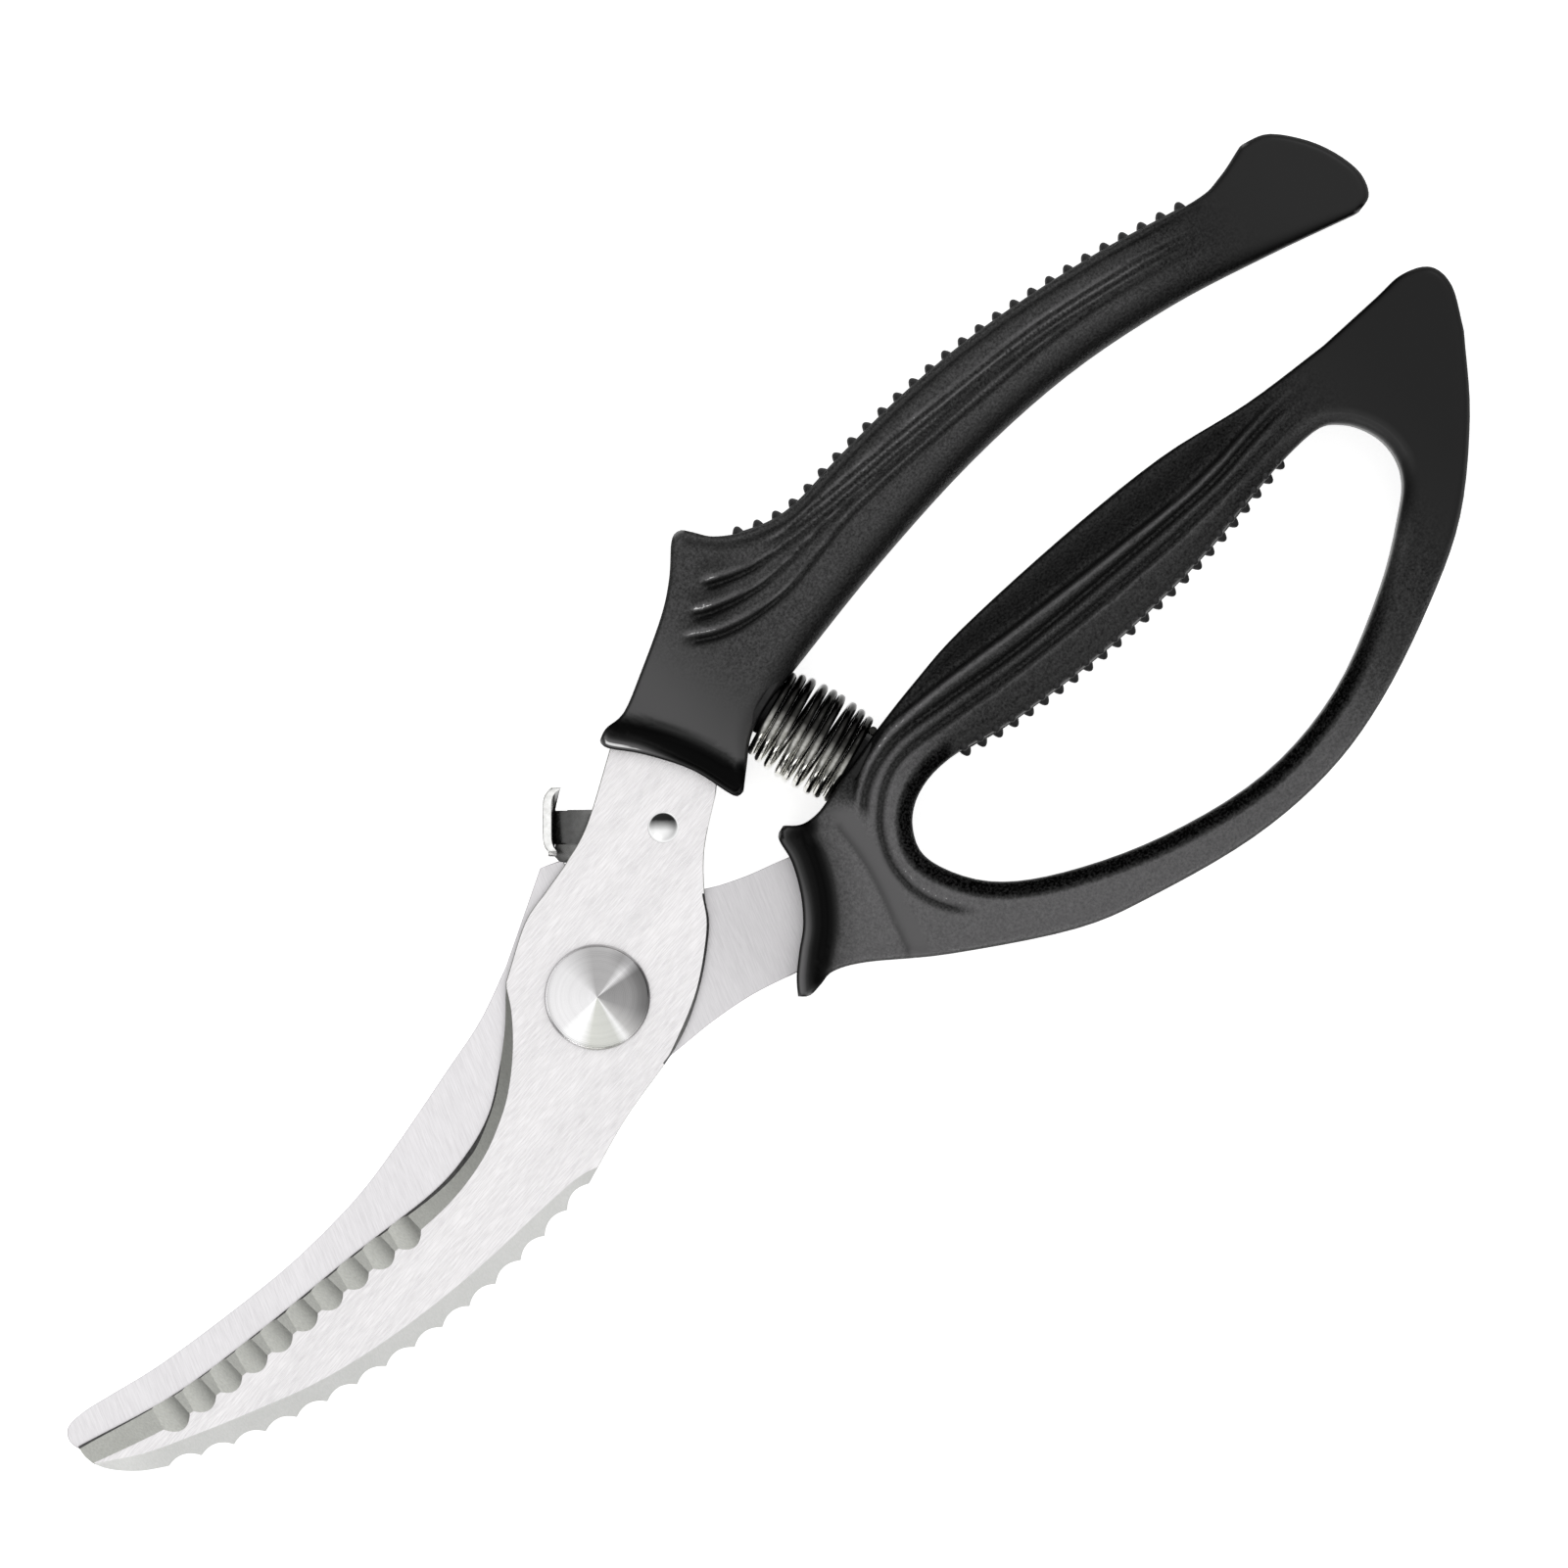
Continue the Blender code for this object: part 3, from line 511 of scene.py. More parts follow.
def brushed(name, codes, rough, turn, depth, fade=(0, 1, 1.0)):
    """Steel brushed one way: grit lines 0.2 mm apart and 3 mm long, with painted shade that darkens it between
    two distances.
    """
    material, tree, shader = new_material(name, linear(codes[0]), 1.0, sum(rough) / 2)
    place = add(tree, "ShaderNodeTexCoord").outputs["Object"]
    along = add(tree, "ShaderNodeMapping", {0: place, "Rotation": (0, 0, turn), "Scale": (14.0, 1.0, 1.0)},
                vector_type="TEXTURE")
    fine = add(tree, "ShaderNodeTexNoise", {"Vector": along, "Scale": 5200.0, "Detail": 3.0, "Roughness": 0.6})
    broad = add(tree, "ShaderNodeTexNoise", {"Vector": along, "Scale": 300.0, "Detail": 2.0})
    weighted = add(tree, "ShaderNodeMath", {0: fine, 1: 0.8}, operation="MULTIPLY")
    grit = add(tree, "ShaderNodeMath", {0: broad, 1: 0.2, 2: weighted}, operation="MULTIPLY_ADD")
    split = add(tree, "ShaderNodeSeparateXYZ", {0: place})
    # Painted shade: along X the colour darkens from full to the given share between the two distances.
    start, end = (PIVOT.x + distance * MM for distance in fade[:2])
    painted_shade = add(tree, "ShaderNodeMapRange", {0: split, 1: start, 2: end, 3: 1.0, 4: fade[2]})
    colour = add(tree, "ShaderNodeMix", {6: spread(tree, grit, codes, (0.34, 0.64)), 7: painted_shade, 0: 1.0},
                 data_type="RGBA", blend_type="MULTIPLY")
    gloss = add(tree, "ShaderNodeMapRange", {0: grit, 1: 0.35, 2: 0.65, 3: rough[0], 4: rough[1]})
    bump = add(tree, "ShaderNodeBump", {"Strength": 0.5, "Distance": depth * MM, "Height": grit})
    connect(shader, {"Base Color": colour.outputs[2], "Roughness": gloss, "Normal": bump})
    return material


# Painted reflections of the turned head: a shade for each sector, by the share of a whole turn from -X round
# towards +Y.
SECTOR_STOPS = (0.0, 0.03, 0.075, 0.115, 0.21, 0.236, 0.26, 0.34, 0.48, 0.515, 0.55, 0.66, 0.78, 0.95)
SECTOR_SHADES = ("#e8e7e8", "#ffffff", "#fbfbfb", "#d2d3cd", "#cecfca", "#f2f2f2", "#bfbebd", "#9b9a9a",
                 "#929191", "#e6e5e6", "#b2b1b1", "#aeadad", "#e2e1e2", "#e8e7e8")


def turned_face():
    """Face-turned steel: rings 0.25 mm apart, and the sectors of light and dark that such rings show, painted
    on as reflections.
    """
    material, tree, shader = new_material("face_turned_stainless_steel", linear("#d8d8d6"), 1.0, 0.26)
    place = add(tree, "ShaderNodeTexCoord").outputs["Object"]
    centred = add(tree, "ShaderNodeMapping", {0: place, "Location": tuple(-PIVOT)})
    split = add(tree, "ShaderNodeSeparateXYZ", {0: centred})
    flat = add(tree, "ShaderNodeCombineXYZ", {0: split, 1: split.outputs[1]})
    radius = add(tree, "ShaderNodeVectorMath", {0: flat}, operation="LENGTH").outputs["Value"]
    rings = add(tree, "ShaderNodeMath", {0: radius, 1: tau / (0.25 * MM)}, operation="MULTIPLY")
    wave = add(tree, "ShaderNodeMath", {0: rings}, operation="SINE")
    bump = add(tree, "ShaderNodeBump", {"Strength": 0.35, "Distance": 0.012 * MM, "Height": wave})
    angle = add(tree, "ShaderNodeTexGradient", {0: flat}, gradient_type="RADIAL").outputs["Fac"]
    # One sector is painted dark as painted shade, most of all near the rim, and the tool left rings of
    # slightly different greys.
    outer = add(tree, "ShaderNodeMapRange", {0: radius, 1: 4.6 * MM, 2: 7.4 * MM, 4: 1.9})
    past = add(tree, "ShaderNodeMapRange", {0: angle, 1: 0.26, 2: 0.36})
    before = add(tree, "ShaderNodeMapRange", {0: angle, 1: 0.52, 2: 0.60, 3: 1.0, 4: 0.0})
    sector = add(tree, "ShaderNodeMath", {0: past, 1: before}, operation="MULTIPLY")
    dark = add(tree, "ShaderNodeMath", {0: sector, 1: outer}, operation="MULTIPLY")
    level = add(tree, "ShaderNodeMath", {0: dark, 1: -0.34, 2: 0.93}, operation="MULTIPLY_ADD")
    bands = add(tree, "ShaderNodeTexNoise", {"W": radius, "Scale": 1400.0, "Detail": 2.0},
                noise_dimensions="1D")
    streaky = add(tree, "ShaderNodeMath", {0: bands, 1: 0.16, 2: level}, operation="MULTIPLY_ADD")
    shades = spread(tree, angle, SECTOR_SHADES, SECTOR_STOPS)
    colour = add(tree, "ShaderNodeMix", {6: shades, 7: streaky, 0: 1.0},
                 data_type="RGBA", blend_type="MULTIPLY")
    connect(shader, {"Base Color": colour.outputs[2], "Normal": bump})
    return material


def plastic():
    """Moulded polypropylene: a spark-eroded grain of about 0.4 mm where the mould has it, satin where not."""
    material, tree, shader = new_material("black_moulded_polypropylene", linear("#151515"), 0.0, 0.42)
    place = add(tree, "ShaderNodeTexCoord").outputs["Object"]
    grain, tone, sheen = (add(tree, "ShaderNodeAttribute", attribute_name=name).outputs["Fac"]
                          for name in ("grain", "tone", "sheen"))
    pits = add(tree, "ShaderNodeTexNoise", {"Vector": place, "Scale": 2800.0, "Detail": 2.0, "Roughness": 0.6})
    offset = add(tree, "ShaderNodeMath", {0: pits, 1: 0.5}, operation="SUBTRACT")
    speck = add(tree, "ShaderNodeMath", {0: offset, 1: grain}, operation="MULTIPLY")
    shade = add(tree, "ShaderNodeMath", {0: speck, 1: 0.22, 2: tone}, operation="MULTIPLY_ADD")
    # The colour is the plastic's own shade plus the painted light and shade of the handles: painted shade in
    # creases, hollows and along the borders, and painted highlights on crests, which reach the top stops.
    colour = spread(tree, shade, ("#020202", "#131313", "#2d2d2d", "#666566", "#e6e6e6"),
                    (0.0, 0.35, 0.6, 0.96, 1.0))
    bump = add(tree, "ShaderNodeBump", {"Strength": 1.0, "Distance": 0.12 * MM, "Height": speck})
    # The sheen attribute raises the gloss where highlights are painted and lowers it near the borders.
    dulled = add(tree, "ShaderNodeMath", {0: sheen, 1: 0.55}, operation="MULTIPLY")
    gloss = add(tree, "ShaderNodeMath", {0: speck, 1: 0.9, 2: dulled}, operation="MULTIPLY_ADD")
    rough = add(tree, "ShaderNodeMapRange", {0: grain, 3: 0.36, 4: 0.46})
    connect(shader, {"Base Color": colour, "Normal": bump, "Specular IOR Level": gloss, "Roughness": rough})
    return material


def dished():
    """Burnished steel in a dish with a painted reflection: dark on the wall towards the upper handle, bright
    on the one opposite.
    """
    material, tree, shader = new_material("burnished_rivet_steel", linear("#e6e6e6"), 1.0, 0.3)
    tone = add(tree, "ShaderNodeAttribute", attribute_name="tone").outputs["Fac"]
    place = add(tree, "ShaderNodeTexCoord").outputs["Object"]
    mottle = add(tree, "ShaderNodeTexNoise", {"Vector": place, "Scale": 1500.0})
    mixed = add(tree, "ShaderNodeMath", {0: mottle, 1: 0.12, 2: tone}, operation="MULTIPLY_ADD")
    connect(shader, {"Base Color": spread(tree, mixed, ("#333333", "#a0a0a0", "#f0f0f0"), (0.1, 0.45, 0.9))})
    return material


def darkened_by_painted_shade(material):
    """Darken a finish by the painted light and shade on the piece."""
    tree = material.node_tree
    base = tree.nodes["Principled BSDF"].inputs["Base Color"]
    tone = add(tree, "ShaderNodeAttribute", attribute_name="tone").outputs["Fac"]
    mixed = add(tree, "ShaderNodeMix", {6: base.links[0].from_socket, 7: tone, 0: 1.0},
                data_type="RGBA", blend_type="MULTIPLY")
    tree.links.new(mixed.outputs[2], base)
    return material


def plain_finish(name, codes, metallic, rough, scale, depth, **sockets):
    """A finish with a soft mottle of colour and gloss, and fine unevenness at the given scale per metre."""
    material, tree, shader = new_material(name, linear(codes[0]), metallic, rough[0], **sockets)
    place = add(tree, "ShaderNodeTexCoord").outputs["Object"]
    noise = add(tree, "ShaderNodeTexNoise", {"Vector": place, "Scale": scale, "Detail": 4.0})
    gloss = add(tree, "ShaderNodeMapRange", {0: noise, 1: 0.3, 2: 0.7, 3: rough[0], 4: rough[1]})
    bump = add(tree, "ShaderNodeBump", {"Strength": 0.4, "Distance": depth * MM, "Height": noise})
    connect(shader, {"Base Color": spread(tree, noise, codes, (0.3, 0.7)), "Roughness": gloss, "Normal": bump})
    return material


FINISHES = {}


def finish(name):
    """Each finish is made once, when a piece first needs it."""
    makers = {
        # Martensitic stainless strip, satin brushed along the blade: bright, with fine streaks.
        "blade": lambda: brushed("brushed_stainless_steel", ("#d8d6d7", "#f7f5f6"), (0.26, 0.36), radians(9),
                                 0.012),
        # The rear blade's face is brushed across, and finer, and painted darker towards the tang as painted
        # shade.
        "rear": lambda: brushed("cross_brushed_stainless_steel", ("#dddbdd", "#efedef"), (0.30, 0.38),
                                radians(72), 0.008, (-5, 22, 0.78)),
        # Wheel-ground bevels, with the grinding lines across them: a greyer copy of the steel for the edge
        # bevels, as painted shade, painted darker still towards the pivot.
        "bevel": lambda: brushed("ground_stainless_bevel", ("#c6c7c1", "#dadbd5"), (0.34, 0.42), radians(95),
                                 0.012, (-42, -14, 0.68)),
        # The spine's bevels: a brighter copy of the same ground steel, as painted light.
        "spine": lambda: brushed("ground_stainless_spine", ("#eeefec", "#f8f8f6"), (0.34, 0.42), radians(80),
                                 0.012),
        # As-sheared rims: rough, and dark as painted shade of the gap between the plates, so that they outline
        # the plates.
        "rim": lambda: plain_finish("sheared_steel_rim", ("#4c4c4b", "#6c6c6b"), 1.0, (0.45, 0.6), 1200.0,
                                    0.02),
        # The rivet's dish, with its painted reflection.
        "dish": dished,
        # Pressed spring steel, phosphated black.
        "seat": lambda: plain_finish("black_phosphated_steel", ("#1c1c1c", "#2a2a2a"), 0.6, (0.5, 0.6), 900.0,
                                     0.02),
        "turned": turned_face,
        # Zinc-flashed pressed strip: bright, softly uneven.
        "sheet": lambda: plain_finish("tumbled_pressed_steel", ("#b9b9b7", "#d6d6d4"), 1.0, (0.22, 0.34),
                                      900.0, 0.03),
        # Spring strip, with painted shade beside the bend and painted light on the tab, read from the piece.
        "catch": lambda: darkened_by_painted_shade(plain_finish("heat_tinted_spring_steel", ("#dcdcda", "#fdfdfc"), 1.0,
                                            (0.2, 0.32), 1200.0, 0.04)),
        # Nickel over drawn music wire: clear highlights, and painted shade read from the piece.
        "wire": lambda: darkened_by_painted_shade(plain_finish("nickel_plated_spring_wire", ("#c2c1ba", "#f4f3ee"), 1.0,
                                           (0.12, 0.2), 1500.0, 0.05)),
        "plastic": plastic,
        # Soft thermoplastic elastomer, moulded matt.
        "rubber": lambda: plain_finish("black_thermoplastic_elastomer", ("#141415", "#1d1d1e"), 0.0,
                                       (0.5, 0.62), 1500.0, 0.03, IOR=1.45),
    }
    if name not in FINISHES:
        FINISHES[name] = makers[name]()
    return FINISHES[name]


def new_tree(name, sizes):
    """A geometry tree with a shape in and out, and named sizes with their defaults."""
    tree = bpy.data.node_groups.new(name, "GeometryNodeTree")
    tree.interface.new_socket("Geometry", in_out="INPUT", socket_type="NodeSocketGeometry")
    for label, (kind, value) in sizes.items():
        socket = tree.interface.new_socket(label, in_out="INPUT", socket_type=kind)
        if value is not None:
            socket.default_value = value
    tree.interface.new_socket("Geometry", in_out="OUTPUT", socket_type="NodeSocketGeometry")
    return tree, add(tree, "NodeGroupInput")


def grown(obj, tree, settings, material):
    """Run a geometry tree on an object and keep the result as a plain mesh."""
    modifier = obj.modifiers.new(tree.name, "NODES")
    modifier.node_group = tree
    sockets = {item.name: item.identifier for item in tree.interface.items_tree if item.in_out == "INPUT"}
    for label, value in settings.items():
        modifier[sockets[label]] = value
    solid_mesh(obj)
    return dress(obj, material)


def line_object(name, points):
    """A string of edges through points in mm about the pivot."""
    mesh = bpy.data.meshes.new(name)
    mesh.from_pydata(in_frame(points), [(i, i + 1) for i in range(len(points) - 1)], [])
    return new_object(name, mesh)


# ---------------------------------------------------------------- blades


def wedge(angle, wide=9.0, above=1.0):
    """The profile that grinds a slope of the given angle."""
    return [(-above / tan(angle), above), (wide, -wide * tan(angle)), (wide, above)]


def flute_tree():
    """Ground flutes: tilted rods along a line, cut from the blade that the tree is on."""
    tree, sizes = new_tree("flutes", {
        "Line": ("NodeSocketObject", None), "Flutes": ("NodeSocketInt", 10),
        "Radius": ("NodeSocketFloat", 4 * MM), "Slope": ("NodeSocketFloat", 0.45)})
    line = add(tree, "GeometryNodeObjectInfo", {"Object": sizes.outputs["Line"]}, transform_space="RELATIVE")
    curve = add(tree, "GeometryNodeMeshToCurve", {"Mesh": line.outputs["Geometry"]})
    spots = add(tree, "GeometryNodeCurveToPoints", {"Curve": curve, "Count": sizes.outputs["Flutes"]})
    rod = add(tree, "GeometryNodeMeshCylinder", {"Vertices": 96, "Radius": sizes.outputs["Radius"],
                                                 "Depth": 28 * MM})
    # The rod's lowest line passes through the point, so it is lifted by its radius.
    up = add(tree, "ShaderNodeCombineXYZ", {0: sizes.outputs["Radius"]})
    lifted = add(tree, "GeometryNodeTransform", {"Geometry": rod, "Translation": up})
    tilt = add(tree, "ShaderNodeCombineXYZ", {1: sizes.outputs["Slope"]})
    tilted = add(tree, "GeometryNodeTransform", {"Geometry": lifted, "Rotation": tilt})
    # Z of the rod goes across the line, its X goes up.
    facing = add(tree, "FunctionNodeAxesToRotation", {0: (0, 0, 1), 1: spots.outputs["Tangent"]},
                 primary_axis="X", secondary_axis="Y")
    put = add(tree, "GeometryNodeInstanceOnPoints", {"Points": spots, "Instance": tilted, "Rotation": facing})
    rods = add(tree, "GeometryNodeRealizeInstances", {0: put})
    cut = add(tree, "GeometryNodeMeshBoolean", {"Mesh 1": sizes.outputs["Geometry"], "Mesh 2": rods,
                                                "Self Intersection": True},
              operation="DIFFERENCE", solver="EXACT")
    steel = add(tree, "GeometryNodeSetMaterial", {"Geometry": cut, "Material": finish("blade")})
    add(tree, "NodeGroupOutput", {0: steel})
    return tree


def faces_by_lean(obj, materials, wanted):
    """Give the faces of a blade their finishes. wanted(centre, normal) returns a slot."""
    dress(obj, *materials)
    for polygon in obj.data.polygons:
        centre = (polygon.center - PIVOT) / MM
        polygon.material_index = wanted(centre, polygon.normal)


def upper_blade(sizes):
    """The front blade: toothed spine, fluted bevel, ground spine, second bevel and holes."""
    teeth = evenly(smooth(UPPER_SPINE), count=sizes.spine_teeth)
    line = chain(smooth(UPPER_EDGE, 8), smooth(UPPER_TIP, 8), scallops(teeth, sizes.spine_tooth_depth),
                 smooth(UPPER_HEEL, 8), smooth(UPPER_TANG, 4), smooth(UPPER_NECK, 8))
    inner, outer = sizes.blade_gap / 2, sizes.blade_gap / 2 + sizes.blade_thickness
    blade = outline_plate("upper_blade_steel", line, inner, outer, RIM_ROUNDING)
    cutters = [swept("edge_grind", smooth(EDGE_BEVEL_LINE, 8), wedge(sizes.edge_bevel), outer),
               swept("spine_grind", smooth(SPINE_BEVEL_LINE, 8), wedge(sizes.spine_bevel), outer),
               hole("pivot_hole", (0, 0), PIVOT_HOLE, outer), hole("rivet_hole", RIVET, RIVET_HOLE, outer)]
    boolean(blade, cutters)
    ends = smooth(FLUTE_ENDS, 8)
    row = line_object("flute_line", [(*point, outer) for point in ends])
    blade = grown(blade, flute_tree(), {
        "Line": row, "Flutes": sizes.flutes, "Radius": sizes.flute_radius * MM, "Slope": sizes.flute_slope,
    }, finish("blade"))
    bpy.data.objects.remove(row)
    # A narrow second bevel along the cutting edge, and a broken corner along the heel, whose faces take the
    # dark rim finish as painted shade.
    edge, heel = smooth(UPPER_EDGE, 8), smooth(HEEL_CORNER, 8)
    second, broken = wedge(radians(60), 2.0), wedge(radians(58), 2.0)
    boolean(blade, [swept("second_bevel", edge + 0.12 * normals(edge), second, inner + 0.6),
                    swept("broken_corner", heel + 0.36 * normals(heel), broken, outer)])
    tidy(blade, 14)

    def ground(centre, normal):
        """The place in the list below of the finish for a face."""
        if -0.9 < normal.z < 0.62:
            return 3
        if abs(normal.z) > FLAT or centre.z < inner + 0.05:
            return 0
        return 2 if normal.y < -0.1 and centre.y < -11 or normal.y < -0.3 else 1

    # Edge bevels take the greyer copy of the ground finish and spine bevels the brighter one, as painted shade
    # and light, and rims the dark one.
    faces_by_lean(blade, [finish("blade"), finish("bevel"), finish("spine"), finish("rim")], ground)
    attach(blade, "upper_half")
    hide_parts("upper_blade")


def hole(name, centre, radius, top):
    """A round cutter through a blade."""
    return turned(name, [(0, top + 1), (radius, top + 1), (radius, top - 4), (0, top - 4)], centre, 64)


def ring(radius, start, end, steps):
    """An arc about the pivot, from and to angles in degrees."""
    turns = np.radians(np.linspace(start, end, steps + 1))
    return radius * np.column_stack([np.cos(turns), np.sin(turns)])


def lower_blade(sizes):
    """The rear blade: plain spine, notch and ear by the neck, and a bevel on its back."""
    line = chain(smooth(LOWER_SPINE, 8), smooth(LOWER_EDGE, 6), smooth(LOWER_TANG, 4),
                 np.vstack([ring(*NECK_NOTCH), ring(*EAR), [LOWER_SPINE[0]]]))
    outer, inner = -sizes.blade_gap / 2 - sizes.blade_thickness, -sizes.blade_gap / 2
    blade = outline_plate("lower_blade_steel", line, outer, inner, RIM_ROUNDING)
    profile = [(across, -up) for across, up in wedge(sizes.edge_bevel)]
    boolean(blade, [swept("lower_grind", smooth(LOWER_BEVEL_LINE, 8), profile, outer),
                    hole("pivot_hole", (0, 0), PIVOT_HOLE, inner)])
    tidy(blade, 14)
    # The back's bevel takes the greyer copy of the ground finish, as painted shade.
    faces_by_lean(blade, [finish("rear"), finish("bevel")],
                  lambda centre, normal: int(-FLAT < normal.z < -0.3 and centre.z < inner - 0.1))
    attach(blade, "lower_half")
    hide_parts("lower_blade")


# ---------------------------------------------------------------- handles

# How a handle's plan is filled, in mm. Rings of points run inside its borders, and lines beside its creases.
RINGS = (0.04, 0.14, 0.3, 0.52, 0.8, 1.15, 1.6, 2.1, 2.7, 3.5, 4.4, 5.4)
BESIDE_CREASE = (-1.6, -1.0, -0.6, -0.3, 0.0, 0.3, 0.6, 1.0, 1.6)
BORDER_STEP = 0.6
CREASE_STEP = 0.7
RING_ROOM = 0.09
LINE_ROOM = 0.2
LINE_CLEARANCE = 0.25
FILL_CLEARANCE = 1.0
# Shares: of its distance that a ring keeps from every border, and of the fill's spacing, for rows and room.
RING_SHARE = 0.985
FILL_ROW = 0.87
FILL_ROOM = 0.62
ON_BORDER = 2e-3
# Close to the borders the skin turns away: no grain there, and along the outer one a darker colour, as painted
# shade, with less sheen.
SKIN_TURNS = (0.05, 0.5)


def thinned(points, room, near=None):
    """The points that keep their room from those before them."""
    cells, kept = {}, []
    for i, (x, y) in enumerate(near if near is not None else ()):
        cells.setdefault((int(x // room), int(y // room)), []).append((x, y))
    for x, y in points:
        column, row = int(x // room), int(y // room)
        close = (other for a in (-1, 0, 1) for b in (-1, 0, 1)
                 for other in cells.get((column + a, row + b), ()))
        if all((x - u) ** 2 + (y - v) ** 2 >= room * room for u, v in close):
            cells.setdefault((column, row), []).append((x, y))
            kept.append((x, y))
    return kept


def filled_plan(loops, creases, fill):
    """A plan filled with triangles: its points and faces, and each point's distance to the nearest border."""
    rim = np.vstack(loops)
    edges, first = [], 0
    for loop in loops:
        edges += [(first + i, first + (i + 1) % len(loop)) for i in range(len(loop))]
        first += len(loop)

    def within(points):
        """Whether each point is inside the outer border and outside the holes."""
        return inside(points, loops[0]) & ~np.any([inside(points, loop) for loop in loops[1:]], axis=0)

    def gaps(points):
        """Each point's distance to the nearest border."""
        return np.min([nearest(points, loop, True)[0] for loop in loops], axis=0)

    def clearance(points):
        return np.where(within(points), gaps(points), -1)

    rings, lines = [], []
    for distance in RINGS:
        for loop in loops:
            for side in (1, -1):
                moved = loop + side * distance * normals(loop, True)
                rings.append(moved[clearance(moved) > RING_SHARE * distance])
    for crease in creases:
        line = evenly(crease, CREASE_STEP)
        for distance in BESIDE_CREASE:
            moved = line + distance * normals(line)
            lines.append(moved[clearance(moved) > LINE_CLEARANCE])
    rings = thinned(np.vstack(rings), RING_ROOM)
    lines = thinned(np.vstack(lines), LINE_ROOM, rings)
    low, high = rim.min(axis=0), rim.max(axis=0)
    rows = enumerate(np.arange(low[1], high[1], fill * FILL_ROW))
    grid = np.array([(x + (j % 2) * fill / 2, y) for j, y in rows for x in np.arange(low[0], high[0], fill)])
    between = thinned(grid[clearance(grid) > FILL_CLEARANCE], fill * FILL_ROOM, np.vstack([rings, lines]))
    plan = np.vstack([rim, rings, lines, between])
    made = delaunay_2d_cdt([Vector(p) for p in plan], edges, [], 0, 1e-6)
    flat = np.array([tuple(p) for p in made[0]])
    faces = np.array(made[2])
    gap = gaps(flat)
    # Flat slivers along straight stretches of the border would only spoil its shading.
    keep = within(flat[faces].mean(axis=1)) & ~(gap < ON_BORDER)[faces].all(axis=1)
    return flat, faces[keep], gap


def moulding(name, border, holes, creases, rise, fill):
    """A moulded form: its plan lifted both ways, with its grain, its painted light and shade and its sheen
    painted on.
    """
    loops = [evenly(line, BORDER_STEP, closed=True) for line in (border, *holes)]
    flat, faces, gap = filled_plan(loops, creases, fill)
    height, (grain, tone, sheen) = rise(flat)
    # Painted shade along the outer border, with less sheen there.
    outer = ease(nearest(flat, loops[0], True)[0], *SKIN_TURNS)
    paints = {"grain": grain * ease(gap, *SKIN_TURNS), "tone": np.clip(tone * (0.35 + 0.65 * outer), 0, 1),
              "sheen": np.clip(sheen * (0.15 + 0.85 * outer), 0, 1)}
    on_rim = gap < ON_BORDER
    height[on_rim] = 0.0
    skins = np.vstack([np.column_stack([flat, side * height]) for side in (1, -1)])
    lower_of = np.where(on_rim, np.arange(len(flat)), np.arange(len(flat)) + len(flat))
    both = [tuple(face) for face in faces] + [tuple(lower_of[face][::-1]) for face in faces]
    obj = shape(name, skins, both, [finish("plastic")])
    for paint, values in paints.items():
        painted(obj, paint, np.concatenate([values, values]))
    work = bmesh.new()
    work.from_mesh(obj.data)
    bmesh.ops.delete(work, geom=[v for v in work.verts if not v.link_faces], context="VERTS")
    work.to_mesh(obj.data)
    work.free()
    obj.data.shade_smooth()
    return obj


def rounded(share):
    """A quarter-round rise, from 0 to 1."""
    t = np.clip(share, 0, 1)
    return np.sqrt(1 - (1 - t) ** 2)


def hump(distance, width):
    """1 on a line, falling off to nothing within about twice the width."""
    return np.exp(-(distance / width) ** 2)


def ease(value, low, high):
    """A smooth step from 0 at the low value to 1 at the high one."""
    t = np.clip((value - low) / (high - low), 0, 1)
    return t * t * (3 - 2 * t)


def signed(points, line):
    """Distance to a line, positive on its left, and how far along."""
    distance, side, along = nearest(points, line)
    return distance * side, along


def ferrule(mouth, lip, band, height, tone, sheen):
    """The mouth a blade goes into: a thin lip, then a hollow band painted dark as painted shade, with less
    sheen.
    """
    hollow = ease(mouth, 0.2, lip) * (1 - ease(mouth, *band))
    return height - 1.5 * hollow, tone * (1 - hollow), sheen * (1 - 0.85 * hollow)


